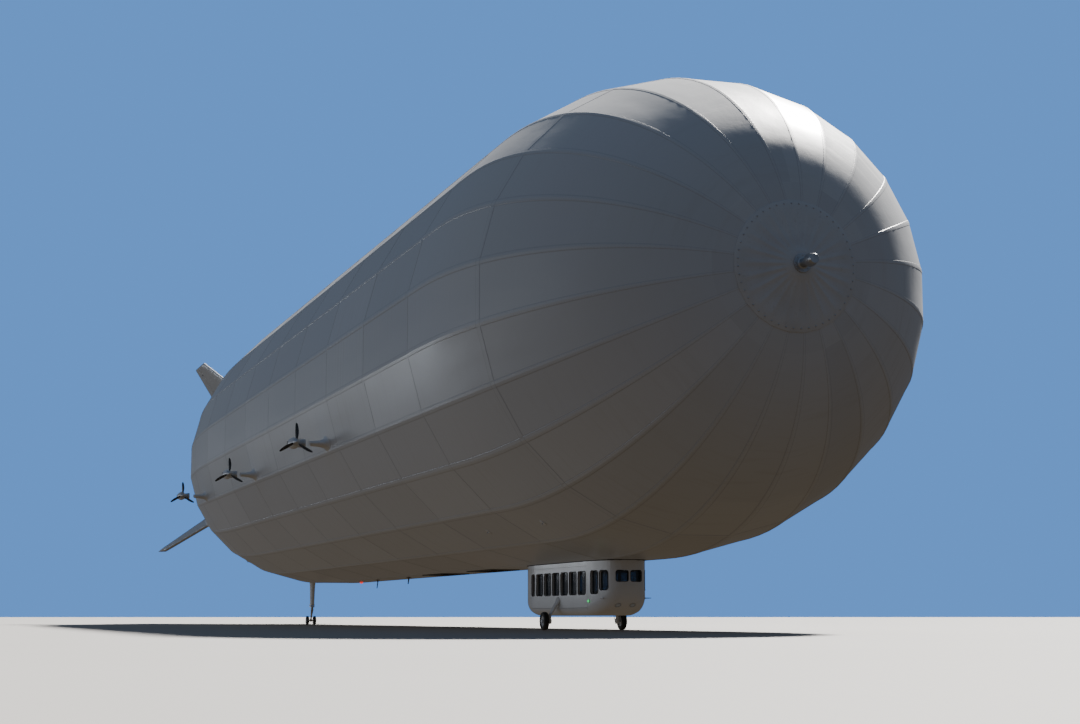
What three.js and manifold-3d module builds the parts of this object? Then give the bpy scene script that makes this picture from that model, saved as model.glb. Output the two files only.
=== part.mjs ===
// A rigid airship as a 1:10 scale model, standing on its landing gear.
// Millimetres. +X points to the nose, +Y to port, +Z up. The ground is z = 0, and the origin is on it,
// midway between the tip of the mooring probe and the end of the tail.
import * as THREE from 'three';
import { mergeVertices } from 'three/addons/utils/BufferGeometryUtils.js';
import Module from 'manifold-3d';

const wasm = await Module();
wasm.setup();

// Driving dimensions
const SEAT_GAP = 0.3; // between a piece and what it sits on
const DEG = Math.PI / 180;

// Stations run aft from the theoretical nose tip, along the hull's axis.
const HULL = {
  length: 12350,
  radius: 1000, // at the longerons, the corners of the section
  sides: 24,
  wall: 10,
  noseLength: 1600,
  nosePower: 2.3,
  tailLength: 4960,
  tailPower: 2.4,
  axisHeight: 1300,
};
const PROBE_REACH = 130; // from the theoretical nose tip forward to the mooring face
const NOSE_X = (HULL.length - PROBE_REACH) / 2;
const NOSE_CAP_STATION = 26; // where the skin starts, behind the nose cap
const TAIL_CONE_STATION = 12050;
const TAIL_END_RADIUS = 18;

const FIN = {
  angles: { lower_starboard: -55, upper_starboard: -145, upper_port: 145, lower_port: 55 }, // from straight down
  innerRadius: 330, // inside the hull, cut away later
  tipRadius: 1170,
  rootLeading: 8890,
  tipLeading: 10320,
  hinge: 10600,
  rootTrailing: 11060,
  tipTrailing: 10820,
  rootHalfThickness: 40,
  tipHalfThickness: 20,
  hingeShare: 0.72, // half thickness at the hinge line as a share of the largest
  slot: 7, // between the fin's rear face and the rudder's round nose
  rudderRootClearance: 16,
  hingeRadii: [740, 1090],
};

const POD = {
  stations: [3700, 5950, 8200],
  angleFromDown: 70,
  lateral: 1105, // thrust line's distance from the centre plane
  nacelleRadius: 30,
  nacelleFront: 62,
  nacelleRear: -104,
  trunnionRadius: 24,
  propellerRadius: 100,
  shaftGap: 0.8,
};

const GONDOLA = {
  station: 2300,
  wall: 8,
  ceiling: 292,
  floorSplit: 100,
  roofSplit: 284,
  noseSplit: 395,
  tailSplit: -420,
  windowLow: 158,
  windowHigh: 262,
};

const VENTS = { front: 3760, rear: 4720 };

const MAIN_GEAR = { track: 190, wheelRadius: 42, wheelWidth: 26 };
const AFT_GEAR = { station: 8700, trail: 34, wheelRadius: 34, wheelWidth: 20, halfTrack: 28, bearing: 150 };

// Materials
const paint = (color, roughness, metalness = 0) => new THREE.MeshStandardMaterial({ color, roughness, metalness });
const SKIN = paint(0xd9dadb, 0.42);
const SHELL_WHITE = paint(0xe6e7e8, 0.35);
const DARK_PANEL = paint(0x1b1d20, 0.6);
const GLASS = paint(0x1d2a36, 0.08);
const CARBON = paint(0x23252a, 0.4);
const STEEL = paint(0x9aa0a6, 0.35, 0.9);
const TYRE = paint(0x18191a, 0.85);
const SEAT_FABRIC = paint(0x39424e, 0.9);

// Manifold helpers
function solidFrom(geometry) {
  const bare = geometry.index ? geometry.toNonIndexed() : geometry.clone();
  bare.deleteAttribute('normal');
  bare.deleteAttribute('uv');
  const merged = mergeVertices(bare, 1e-4);
  const triVerts = new Uint32Array(merged.index.array);
  return new wasm.Manifold(new wasm.Mesh({
    numProp: 3,
    vertProperties: new Float32Array(merged.attributes.position.array),
    triVerts,
  }));
}

function geometryFrom(solid) {
  const mesh = solid.getMesh();
  const geometry = new THREE.BufferGeometry();
  geometry.setAttribute('position', new THREE.BufferAttribute(new Float32Array(mesh.vertProperties), 3));
  geometry.setIndex(new THREE.BufferAttribute(new Uint32Array(mesh.triVerts), 1));
  geometry.computeVertexNormals();
  return geometry;
}

const join = (...solids) => solids.reduce((sum, next) => sum.add(next));

// A closed solid through rings of [x, y, z] points, each ring convex, with the same count in each.
function loft(rings) {
  const count = rings[0].length;
  const points = rings.flat();
  const faces = [];
  for (let i = 0; i + 1 < rings.length; i++) {
    for (let k = 0; k < count; k++) {
      const next = (k + 1) % count;
      const a = i * count + k;
      const b = i * count + next;
      faces.push([a, b, b + count], [a, b + count, a + count]);
    }
  }
  const last = (rings.length - 1) * count;
  for (let k = 1; k + 1 < count; k++) {
    faces.push([0, k + 1, k], [last, last + k, last + k + 1]);
  }
  let volume = 0;
  const corner = (index) => new THREE.Vector3(...points[index]);
  for (const [a, b, c] of faces) {
    volume += corner(a).dot(corner(b).cross(corner(c)));
  }
  if (volume < 0) {
    faces.forEach((face) => face.reverse());
  }
  const geometry = new THREE.BufferGeometry();
  geometry.setAttribute('position', new THREE.Float32BufferAttribute(points.flat(), 3));
  geometry.setIndex(faces.flat());
  return solidFrom(geometry);
}

function box(low, high) {
  const size = high.map((value, axis) => value - low[axis]);
  const middle = high.map((value, axis) => (value + low[axis]) / 2);
  return solidFrom(new THREE.BoxGeometry(...size).translate(...middle));
}

// A round bar between two points on a line along X, Y or Z.
function bar(axis, centre, from, to, radius, segments = 16) {
  const turned = new THREE.CylinderGeometry(radius, radius, to - from, segments);
  turned.translate(0, (from + to) / 2, 0);
  if (axis === 'x') turned.rotateZ(-Math.PI / 2);
  if (axis === 'z') turned.rotateX(Math.PI / 2);
  return solidFrom(turned.translate(...centre));
}

// A turned body: profile pairs are [along the axis, radius], and the axis is X or Y.
function turnedBody(axis, profile, segments, phase = 0) {
  const points = profile.map(([along, radius]) => new THREE.Vector2(radius, along));
  const geometry = new THREE.LatheGeometry(points, segments, phase);
  if (axis === 'x') geometry.rotateZ(-Math.PI / 2);
  let solid = solidFrom(geometry);
  if (solid.volume() < 0) {
    solid = solidFrom(new THREE.LatheGeometry(points.reverse(), segments, phase).rotateZ(axis === 'x' ? -Math.PI / 2 : 0));
  }
  return solid;
}

// Hull form
function hullRadius(station) {
  const { radius, noseLength, nosePower, tailLength, tailPower, length } = HULL;
  if (station < noseLength) {
    const ahead = 1 - station / noseLength;
    return radius * (1 - ahead ** nosePower) ** (1 / nosePower);
  }
  const behind = Math.max(0, station - (length - tailLength)) / tailLength;
  return radius * (1 - behind ** tailPower);
}

// The outline moved outwards (or inwards, if negative) along its own normal: [station, radius].
function offsetOutline(station, offset) {
  const step = 0.5;
  const slope = (hullRadius(station + step) - hullRadius(Math.max(0, station - step))) / (station > step ? 2 * step : station + step);
  const scale = offset / Math.hypot(1, slope);
  return [station - slope * scale, hullRadius(station) + scale];
}

const frameX = (station) => NOSE_X - station;

// One ring about the X axis at height 0. A flat faces down.
function hullRing(station, radius) {
  const ring = [];
  for (let k = 0; k < HULL.sides; k++) {
    const angle = ((k + 0.5) * 2 * Math.PI) / HULL.sides;
    ring.push([frameX(station), radius * Math.sin(angle), -radius * Math.cos(angle)]);
  }
  return ring;
}

const NOSE_STATIONS = [26, 52, 95, 160, 250, 360, 500, 670, 870, 1100, 1350, 1600];
const TAIL_STATIONS = [7390, 8000, 8500, 8950, 9350, 9750, 10100, 10450, 10800, 11150, 11450, 11750, 12050];
const SKIN_STATIONS = [...NOSE_STATIONS, ...TAIL_STATIONS];

// The hull as one closed body, grown by an offset; for cutting whatever is seated on the skin.
function hullBody(offset) {
  return loft(SKIN_STATIONS.map((station) => hullRing(...offsetOutline(station, offset))));
}

const raised = (solid) => solid.translate([0, 0, HULL.axisHeight]);
const hullCutter = raised(hullBody(SEAT_GAP));

const airship = new THREE.Group();

function addPiece(name, solid, material, parent = airship) {
  const mesh = new THREE.Mesh(geometryFrom(solid), material);
  mesh.name = name;
  parent.add(mesh);
  return mesh;
}

// Envelope: the skin as a 10 mm shell, open at both ends, with two belly vents let in
function ventOpening(station, grow) {
  const x = frameX(station);
  return box([x - 210 - grow, -75 - grow, 270], [x + 210 + grow, 75 + grow, 340]);
}

function envelope() {
  const inner = SKIN_STATIONS.map((station) => hullRing(...offsetOutline(station, -HULL.wall)));
  const first = inner[0].map(([x, y, z]) => [x + 60, y, z]);
  const last = inner[inner.length - 1].map(([x, y, z]) => [x - 60, y, z]);
  const shell = raised(hullBody(0).subtract(loft([first, ...inner, last])));
  return shell.subtract(ventOpening(VENTS.front, 0)).subtract(ventOpening(VENTS.rear, 0));
}
addPiece('envelope', envelope(), SKIN);

// Nose cap: a shallow dish over the front of the skin, with the mooring probe's socket
const CAP_RADIUS = hullRadius(NOSE_CAP_STATION) - 2;
const noseCap = turnedBody('x', [
  [-12, 0], [-12, CAP_RADIUS - 26], [0, CAP_RADIUS], [9, CAP_RADIUS - 4], [24, 150], [46, 62], [56, 40], [56, 0],
], HULL.sides, Math.PI / HULL.sides);
addPiece('nose_cap', raised(noseCap.translate([frameX(NOSE_CAP_STATION) + SEAT_GAP, 0, 0])), SHELL_WHITE);

// Mooring probe: spindle with a cone and a flat mooring face
const PROBE_BASE = frameX(NOSE_CAP_STATION) + 56 + 2 * SEAT_GAP;
const PROBE_TIP = NOSE_X + PROBE_REACH;
const probeLength = PROBE_TIP - PROBE_BASE;
const probe = turnedBody('x', [
  [0, 0], [0, 34], [7, 34], [7, 15], [probeLength - 46, 13], [probeLength - 40, 24], [probeLength, 17], [probeLength, 0],
], 20);
addPiece('mooring_probe', raised(probe.translate([PROBE_BASE, 0, 0])), STEEL);

// Tail cone: hard fairing that closes the skin at the stern
function tailCone() {
  const rings = [0, 100, 200, 300].map((aft) => {
    const station = TAIL_CONE_STATION + aft;
    const radius = Math.max(hullRadius(station), TAIL_END_RADIUS);
    return hullRing(station + (aft === 0 ? SEAT_GAP : 0), radius);
  });
  return raised(loft(rings));
}
addPiece('tail_cone', tailCone(), SHELL_WHITE);

// Belly vents: a flanged tray with slanted slats, flush with the flat under the keel
const KEEL_FLAT = HULL.axisHeight - HULL.radius * Math.cos(Math.PI / HULL.sides);
function bellyVent(station) {
  const x = frameX(station);
  const skinFace = KEEL_FLAT - SEAT_GAP;
  const flange = box([x - 222, -84, skinFace - 4], [x + 222, 84, skinFace]);
  const tray = box([x - 210 + SEAT_GAP, -75 + SEAT_GAP, skinFace - 4], [x + 210 - SEAT_GAP, 75 - SEAT_GAP, skinFace + 62]);
  const pocket = box([x - 196, -62, skinFace - 10], [x + 196, 62, skinFace + 54]);
  let unit = flange.add(tray).subtract(pocket);
  const slatCount = 9;
  for (let k = 0; k < slatCount; k++) {
    const slat = solidFrom(new THREE.BoxGeometry(4, 130, 30).rotateY(38 * DEG));
    unit = unit.add(slat.translate([x + (k - (slatCount - 1) / 2) * 42, 0, skinFace + 12]));
  }
  const rib = box([x - 200, -3, skinFace - 1], [x + 200, 3, skinFace + 20]);
  return unit.add(rib);
}
for (const [place, station] of Object.entries(VENTS)) {
  addPiece(`belly_vent_${place}`, bellyVent(station), DARK_PANEL);
}

// Fins and rudders are built pointing straight down from the axis, then turned about it.
const FIN_THICKNESS = [ // share of the way from leading edge to rear face, share of half thickness
  [0, 0.06], [0.07, 0.5], [0.22, 0.82], [0.45, 1], [0.75, 0.94], [1, FIN.hingeShare],
];
function finLine(radius) {
  const share = (radius - FIN.innerRadius) / (FIN.tipRadius - FIN.innerRadius);
  const mix = (root, tip) => root + (tip - root) * share;
  return {
    leading: mix(FIN.rootLeading, FIN.tipLeading),
    trailing: mix(FIN.rootTrailing, FIN.tipTrailing),
    half: mix(FIN.rootHalfThickness, FIN.tipHalfThickness),
  };
}

function finSection(radius) {
  const { leading, half } = finLine(radius);
  const rear = FIN.hinge - half * FIN.hingeShare - FIN.slot;
  const side = FIN_THICKNESS.map(([share, thick]) => [leading + (rear - leading) * share, half * thick]);
  const other = side.map(([station, thick]) => [station, -thick]).reverse();
  return [...side, ...other].map(([station, y]) => [frameX(station), y, -radius]);
}

function rudderSection(radius) {
  const { trailing, half } = finLine(radius);
  const noseRadius = half * FIN.hingeShare;
  const outline = [];
  for (let k = 0; k <= 6; k++) {
    const angle = (k / 6 - 0.5) * Math.PI;
    outline.push([FIN.hinge - noseRadius * Math.cos(angle), -noseRadius * Math.sin(angle)]);
  }
  outline.push([trailing, -2.5], [trailing, 2.5]);
  return outline.map(([station, y]) => [frameX(station), y, -radius]);
}

const finRadii = [FIN.innerRadius, FIN.tipRadius];
const hingeX = frameX(FIN.hinge);
const hullSeenFrom = (angle, offset) => hullBody(offset).rotate([-angle, 0, 0]);

function fin(angle) {
  let solid = loft(finRadii.map(finSection)).subtract(hullSeenFrom(angle, SEAT_GAP));
  for (const radius of FIN.hingeRadii) {
    solid = solid.add(box([hingeX - 8, -8, -radius - 7], [hingeX + 60, 8, -radius + 7]));
  }
  return solid;
}

function rudder(angle) {
  let solid = loft(finRadii.map(rudderSection)).subtract(hullSeenFrom(angle, FIN.rudderRootClearance));
  for (const radius of FIN.hingeRadii) {
    solid = solid.subtract(box([hingeX - 15, -60, -radius - 7.8], [hingeX + 60, 60, -radius + 7.8]));
  }
  return solid;
}

for (const [place, angle] of Object.entries(FIN.angles)) {
  const quarter = new THREE.Group();
  quarter.position.z = HULL.axisHeight;
  quarter.rotation.x = angle * DEG;
  airship.add(quarter);
  addPiece(`fin_${place}`, fin(angle), SKIN, quarter);
  addPiece(`rudder_${place}`, rudder(angle), SKIN, quarter);
}

// Motor pods: a strut off the flank, a nacelle that tilts about its end, and a propeller
const POD_HEIGHT = HULL.axisHeight - HULL.radius * Math.cos(POD.angleFromDown * DEG);
const TRUNNION_IN = POD.lateral - POD.nacelleRadius - 16;

function strutRing(y, chord, thick, x) {
  const outline = [[0.5, 0], [0.36, 0.36], [0.12, 0.5], [-0.2, 0.4], [-0.5, 0.05], [-0.5, -0.05], [-0.2, -0.4], [0.12, -0.5], [0.36, -0.36]];
  return outline.map(([u, v]) => [x + u * chord, y, POD_HEIGHT + v * thick]);
}

function pylon(station, side) {
  const x = frameX(station);
  const strut = loft([
    strutRing(side * 900, 150, 40, x),
    strutRing(side * 990, 92, 27, x),
    strutRing(side * (TRUNNION_IN - 8), 76, 24, x),
  ]);
  const [from, to] = side > 0 ? [TRUNNION_IN - 14, TRUNNION_IN] : [-TRUNNION_IN, -TRUNNION_IN + 14];
  const trunnion = bar('y', [x, 0, POD_HEIGHT], from, to, POD.trunnionRadius);
  return strut.add(trunnion).subtract(hullCutter);
}

function nacelle(station, side) {
  const body = turnedBody('x', [
    [POD.nacelleRear, 0], [POD.nacelleRear, 5], [-80, 16], [-40, 26], [0, POD.nacelleRadius], [34, 28], [POD.nacelleFront, 20], [POD.nacelleFront, 0],
  ], 16);
  const inner = TRUNNION_IN + 0.6 - POD.lateral;
  const [from, to] = side > 0 ? [inner, 0] : [0, -inner];
  const boss = bar('y', [0, 0, 0], from, to, POD.trunnionRadius - 2);
  return body.add(boss).translate([frameX(station), side * POD.lateral, POD_HEIGHT]);
}

const BLADE_SECTIONS = [ // radius, chord, thickness, pitch in degrees from the disc
  [10, 13, 8, 52], [32, 20, 5.5, 42], [66, 19, 3.6, 27], [POD.propellerRadius, 9, 2, 18],
];
function blade() {
  const rings = BLADE_SECTIONS.map(([radius, chord, thick, pitch]) => {
    const outline = [[0.5, 0], [0.15, 0.5], [-0.3, 0.36], [-0.5, 0], [-0.3, -0.36], [0.15, -0.5]];
    return outline.map(([u, v]) => {
      const along = u * chord;
      const across = v * thick;
      const turn = pitch * DEG;
      return [along * Math.sin(turn) + across * Math.cos(turn), along * Math.cos(turn) - across * Math.sin(turn), radius];
    });
  });
  return loft(rings);
}

function propeller(station, side) {
  const hub = turnedBody('x', [[0, 0], [0, 19], [16, 19], [30, 13], [38, 5], [40, 0]], 16);
  let solid = hub;
  for (let k = 0; k < 3; k++) {
    solid = solid.add(blade().rotate([k * 120, 0, 0]).translate([10, 0, 0]));
  }
  return solid.translate([frameX(station) + POD.nacelleFront + POD.shaftGap, side * POD.lateral, POD_HEIGHT]);
}

for (const [name, side] of [['port', 1], ['starboard', -1]]) {
  POD.stations.forEach((station, index) => {
    addPiece(`pylon_${name}_${index + 1}`, pylon(station, side), SHELL_WHITE);
    addPiece(`nacelle_${name}_${index + 1}`, nacelle(station, side), SHELL_WHITE);
    addPiece(`propeller_${name}_${index + 1}`, propeller(station, side), CARBON);
  });
}

// Gondola: a lofted car cut into its panels
const CAR_X = frameX(GONDOLA.station);
const CAR_HALF = 600;
const CAR_SECTIONS = [ // ahead of the middle, half width, bottom, corner radius
  [CAR_HALF, 36, 188, 20], [588, 62, 154, 34], [560, 86, 122, 42], [510, 105, 94, 44], [440, 119, 75, 42], [340, 125, 66, 38],
  [-340, 125, 66, 38], [-450, 117, 75, 40], [-535, 99, 96, 40], [-582, 74, 126, 34], [-CAR_HALF, 48, 156, 24],
];
const CORNER_STEPS = 4;
function carRing([ahead, half, bottom, corner], inset, top) {
  const low = bottom + inset;
  const wide = half - inset;
  const round = Math.max(corner - inset, 6);
  const shift = Math.abs(ahead) === CAR_HALF ? -Math.sign(ahead) * inset : 0;
  const side = [[wide, top]];
  for (let k = 0; k <= CORNER_STEPS; k++) {
    const turn = (k / CORNER_STEPS) * (Math.PI / 2);
    side.push([wide - round + round * Math.cos(turn), low + round - round * Math.sin(turn)]);
  }
  const other = side.map(([y, z]) => [-y, z]).reverse();
  return [...side, ...other].map(([y, z]) => [CAR_X + ahead + shift, y, z]);
}
const carBody = (inset, top) => loft(CAR_SECTIONS.map((row) => carRing(row, inset, top)));
const carX = (ahead) => CAR_X + ahead; // from a distance ahead of the car's middle

const DOOR = { rear: -330, front: -206, low: 106, high: 278, gap: 3 };
const SIDE_WINDOWS = [-150, -30, 90, 210, 330]; // middles, ahead of the car's middle
const WINDOW_HALF = 50;

function sideWindowCuts() {
  const cuts = SIDE_WINDOWS.map((ahead) => box(
    [carX(ahead - WINDOW_HALF), -200, GONDOLA.windowLow],
    [carX(ahead + WINDOW_HALF), 200, GONDOLA.windowHigh],
  ));
  const rear = box([carX(-400), -200, GONDOLA.windowLow], [carX(-345), 200, GONDOLA.windowHigh]);
  const starboardDoorPlace = box([carX(-318), -200, GONDOLA.windowLow], [carX(-218), -60, GONDOLA.windowHigh]);
  return join(...cuts, rear, starboardDoorPlace);
}

const WINDSHIELD_PANES = [ // rear and front end ahead of the car's middle, inner and outer edge, sill
  [432, 497, 60, 200, 160], [507, 562, 40, 200, 176], [570, 640, 4, 60, 212],
];
function windshieldCuts() {
  const panes = WINDSHIELD_PANES.map(([rear, front, inner, outer, sill]) => join(
    box([carX(rear), inner, sill], [carX(front), outer, GONDOLA.windowHigh]),
    box([carX(rear), -outer, sill], [carX(front), -inner, GONDOLA.windowHigh]),
  ));
  return join(...panes);
}

const cabinSpace = carBody(GONDOLA.wall, GONDOLA.ceiling);
const carShell = carBody(0, 330).subtract(hullCutter).subtract(cabinSpace)
  .subtract(sideWindowCuts()).subtract(windshieldCuts());
const halfGap = SEAT_GAP / 2;
const slab = (fromX, toX, fromY, toY, fromZ, toZ) => box([carX(fromX), fromY, fromZ], [carX(toX), toY, toZ]);
const midRange = [GONDOLA.tailSplit + halfGap, GONDOLA.noseSplit - halfGap];

addPiece('gondola_nose', carShell.intersect(slab(GONDOLA.noseSplit + halfGap, 700, -300, 300, 0, 400)), SHELL_WHITE);
addPiece('gondola_tail', carShell.intersect(slab(-700, GONDOLA.tailSplit - halfGap, -300, 300, 0, 400)), SHELL_WHITE);
addPiece('gondola_floor', carShell.intersect(slab(...midRange, -300, 300, 0, GONDOLA.floorSplit - halfGap)), SHELL_WHITE);
addPiece('gondola_roof', carShell.intersect(slab(...midRange, -300, 300, GONDOLA.roofSplit + halfGap, 400)), SHELL_WHITE);

const wallRange = [GONDOLA.floorSplit + halfGap, GONDOLA.roofSplit - halfGap];
const starboardWall = carShell.intersect(slab(...midRange, -300, 0, ...wallRange));
addPiece('gondola_wall_starboard', starboardWall, SHELL_WHITE);

// The door hangs on a rod at its front edge and opens outwards.
const HINGE_ROD = { x: carX(DOOR.front), y: 132, radius: 2.4, low: 128, high: 258 };
const doorOpening = slab(DOOR.rear - DOOR.gap, DOOR.front, 60, 200, DOOR.low - DOOR.gap, DOOR.high + DOOR.gap);
const portShell = carShell.intersect(slab(...midRange, 0, 300, ...wallRange));
const rodLugs = join(
  box([HINGE_ROD.x - 2, 120, HINGE_ROD.low - 4], [HINGE_ROD.x + 14, 135, HINGE_ROD.low + 4]),
  box([HINGE_ROD.x - 2, 120, HINGE_ROD.high - 4], [HINGE_ROD.x + 14, 135, HINGE_ROD.high + 4]),
).subtract(cabinSpace);
const rod = bar('z', [HINGE_ROD.x, HINGE_ROD.y, 0], HINGE_ROD.low, HINGE_ROD.high, HINGE_ROD.radius, 12);
addPiece('gondola_wall_port', portShell.subtract(doorOpening).add(rodLugs).add(rod), SHELL_WHITE);

function door() {
  const leaf = carBody(0, 330).subtract(cabinSpace)
    .intersect(slab(DOOR.rear, DOOR.front - 3, 60, 300, DOOR.low, DOOR.high));
  const window = slab(DOOR.rear + 22, DOOR.front - 26, 60, 300, GONDOLA.windowLow + 4, GONDOLA.windowHigh - 4);
  let solid = leaf.subtract(window);
  for (const height of [160, 226]) {
    const barrel = bar('z', [HINGE_ROD.x, HINGE_ROD.y, 0], height - 11, height + 11, 5.4, 12);
    const tab = box([HINGE_ROD.x - 20, 124, height - 11], [HINGE_ROD.x, 129, height + 11]);
    solid = solid.add(barrel).add(tab);
  }
  return solid.subtract(bar('z', [HINGE_ROD.x, HINGE_ROD.y, 0], 120, 270, HINGE_ROD.radius + 0.6, 12));
}
addPiece('gondola_door', door(), SHELL_WHITE);

// Glazing: thin panes behind the window openings
const GLASS_THICK = 2.5;
const glassBand = carBody(GONDOLA.wall + SEAT_GAP, 272).subtract(carBody(GONDOLA.wall + SEAT_GAP + GLASS_THICK, 290))
  .intersect(slab(-560, 700, -300, 300, 146, 272));
const glassMid = [GONDOLA.tailSplit + 6, GONDOLA.noseSplit - 4];
addPiece('windows_port', glassBand.intersect(slab(DOOR.front + 8, glassMid[1], 0, 300, 146, 272)), GLASS);
addPiece('window_port_rear', glassBand.intersect(slab(glassMid[0], DOOR.rear - 8, 0, 300, 146, 272)), GLASS);
addPiece('windows_starboard', glassBand.intersect(slab(...glassMid, -300, 0, 146, 272)), GLASS);
addPiece('windshield', glassBand.intersect(slab(GONDOLA.noseSplit + 4, 700, -300, 300, 140, 272)), GLASS);
const doorPane = carBody(GONDOLA.wall - 5.5, 330).subtract(carBody(GONDOLA.wall - 3, 340))
  .intersect(slab(DOOR.rear + 22 + SEAT_GAP, DOOR.front - 26 - SEAT_GAP, 60, 300,
    GONDOLA.windowLow + 4 + SEAT_GAP, GONDOLA.windowHigh - 4 - SEAT_GAP));
addPiece('door_window', doorPane, GLASS);

// Cabin: seats on floor rails, and the pilots' console
const CABIN_FLOOR = CAR_SECTIONS[5][2] + GONDOLA.wall + SEAT_GAP;
const SEAT_ROWS = [215, 95, -15, -125];
function cabinSeats() {
  const pieces = [];
  for (const side of [1, -1]) {
    const y = side * 54;
    pieces.push(slab(SEAT_ROWS[3] - 26, SEAT_ROWS[0] + 26, y - 6, y + 6, CABIN_FLOOR, CABIN_FLOOR + 6));
    for (const row of SEAT_ROWS) {
      pieces.push(slab(row - 16, row + 16, y - 14, y + 14, CABIN_FLOOR, CABIN_FLOOR + 30));
      pieces.push(slab(row - 24, row + 26, y - 25, y + 25, CABIN_FLOOR + 28, CABIN_FLOOR + 42));
      pieces.push(slab(row - 34, row - 22, y - 24, y + 24, CABIN_FLOOR + 32, CABIN_FLOOR + 108));
    }
  }
  for (const row of [SEAT_ROWS[0], SEAT_ROWS[3]]) {
    pieces.push(slab(row - 5, row + 5, -50, 50, CABIN_FLOOR, CABIN_FLOOR + 4));
  }
  return join(...pieces);
}
addPiece('cabin_seats', cabinSeats(), SEAT_FABRIC);

const CONSOLE_HALF = 76;
function instrumentConsole() {
  const outline = [[282, CABIN_FLOOR], [332, CABIN_FLOOR], [332, 152], [318, 160], [284, 138], [292, 112]];
  const side = new THREE.Shape(outline.map(([ahead, z]) => new THREE.Vector2(carX(ahead), z)));
  const extruded = new THREE.ExtrudeGeometry(side, { depth: 2 * CONSOLE_HALF, bevelEnabled: false });
  return solidFrom(extruded.rotateX(Math.PI / 2).translate(0, CONSOLE_HALF, 0));
}
addPiece('instrument_console', instrumentConsole(), DARK_PANEL);

// Wheels are turned about Y; a flat of the tread faces the ground.
const WHEEL_SEGMENTS = 28;
const treadDrop = (radius) => radius * Math.cos(Math.PI / WHEEL_SEGMENTS);
function wheel(radius, width, bore) {
  const w = width / 2;
  const profile = [
    [-w * 0.6, bore], [-w * 0.6, radius * 0.52], [-w * 0.92, radius * 0.6], [-w, radius * 0.8], [-w * 0.72, radius * 0.96],
    [-w * 0.3, radius], [w * 0.3, radius], [w * 0.72, radius * 0.96], [w, radius * 0.8], [w * 0.92, radius * 0.6],
    [w * 0.6, radius * 0.52], [w * 0.6, bore], [-w * 0.6, bore],
  ];
  return turnedBody('y', profile, WHEEL_SEGMENTS, Math.PI / WHEEL_SEGMENTS);
}

// Main gear: one strut and wheel each side of the gondola
const mainX = CAR_X;
const mainAxle = treadDrop(MAIN_GEAR.wheelRadius);
function mainLeg(side) {
  const foot = MAIN_GEAR.track - MAIN_GEAR.wheelWidth / 2 - 4;
  const ring = (y, z, chord, thick) => [
    [mainX + chord / 2, side * (y - thick / 2), z], [mainX + chord / 2, side * (y + thick / 2), z],
    [mainX - chord / 2, side * (y + thick / 2), z], [mainX - chord / 2, side * (y - thick / 2), z],
  ];
  const strut = loft([ring(112, 146, 70, 26), ring(140, 112, 48, 18), ring(foot - 7, 62, 30, 14), ring(foot - 7, 26, 26, 14)]);
  const [from, to] = side > 0 ? [foot - 8, MAIN_GEAR.track + 15] : [-MAIN_GEAR.track - 15, 8 - foot];
  const axle = bar('y', [mainX, 0, mainAxle], from, to, 6);
  const capFrom = side > 0 ? MAIN_GEAR.track + 10 : -MAIN_GEAR.track - 15;
  const cap = bar('y', [mainX, 0, mainAxle], capFrom, capFrom + 5, 11);
  return strut.subtract(carBody(-SEAT_GAP, 330)).add(axle).add(cap);
}
for (const [name, side] of [['port', 1], ['starboard', -1]]) {
  addPiece(`main_leg_${name}`, mainLeg(side), STEEL);
  const turned = wheel(MAIN_GEAR.wheelRadius, MAIN_GEAR.wheelWidth, 6.5);
  addPiece(`main_wheel_${name}`, turned.translate([mainX, side * MAIN_GEAR.track, mainAxle]), TYRE);
}

// Aft gear: a fixed mast under the hull, a castoring fork, and twin wheels on one axle
const aftX = frameX(AFT_GEAR.station);
const aftAxle = treadDrop(AFT_GEAR.wheelRadius);
function mastRing(z, chord, thick) {
  const outline = [[0.5, 0], [0.3, 0.42], [0, 0.5], [-0.3, 0.3], [-0.5, 0], [-0.3, -0.3], [0, -0.5], [0.3, -0.42]];
  return outline.map(([u, v]) => [aftX + u * chord, v * thick, z]);
}
const mast = loft([mastRing(380, 130, 60), mastRing(300, 84, 40), mastRing(AFT_GEAR.bearing + 6, 62, 32)])
  .add(bar('z', [aftX, 0, 0], AFT_GEAR.bearing, AFT_GEAR.bearing + 12, 20))
  .subtract(hullCutter);
addPiece('aft_mast', mast, SHELL_WHITE);

const forkX = aftX - AFT_GEAR.trail;
const lugRing = (x, z, chord, thick) => [
  [x + chord / 2, -thick / 2, z], [x + chord / 2, thick / 2, z], [x - chord / 2, thick / 2, z], [x - chord / 2, -thick / 2, z],
];
const fork = bar('z', [aftX, 0, 0], AFT_GEAR.bearing - 14, AFT_GEAR.bearing - 0.6, 20)
  .add(loft([lugRing(aftX, AFT_GEAR.bearing - 6, 30, 18), lugRing(aftX - 14, 90, 26, 15), lugRing(forkX, 40, 22, 14), lugRing(forkX, 24, 18, 14)]))
  .subtract(bar('y', [forkX, 0, aftAxle], -30, 30, 6));
addPiece('aft_fork', fork, STEEL);

const aftWheel = wheel(AFT_GEAR.wheelRadius, AFT_GEAR.wheelWidth, 5);
const aftWheels = bar('y', [0, 0, 0], -AFT_GEAR.halfTrack - 8, AFT_GEAR.halfTrack + 8, 5.4)
  .add(aftWheel.translate([0, AFT_GEAR.halfTrack, 0]))
  .add(aftWheel.translate([0, -AFT_GEAR.halfTrack, 0]))
  .translate([forkX, 0, aftAxle]);
addPiece('aft_wheels', aftWheels, TYRE);

export default airship;
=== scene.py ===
# %% [markdown]
# # Dressing a rigid airship
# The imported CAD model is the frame: it fixes every size, place and joint. This lesson puts a skin, seams,
# fairings, glass, seats, wheels and paint over it, then lights it and looks up at it from the floor.
# Everything is in metres. +X points to the nose, +Y to port, +Z up, and the floor is z = 0.

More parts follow.
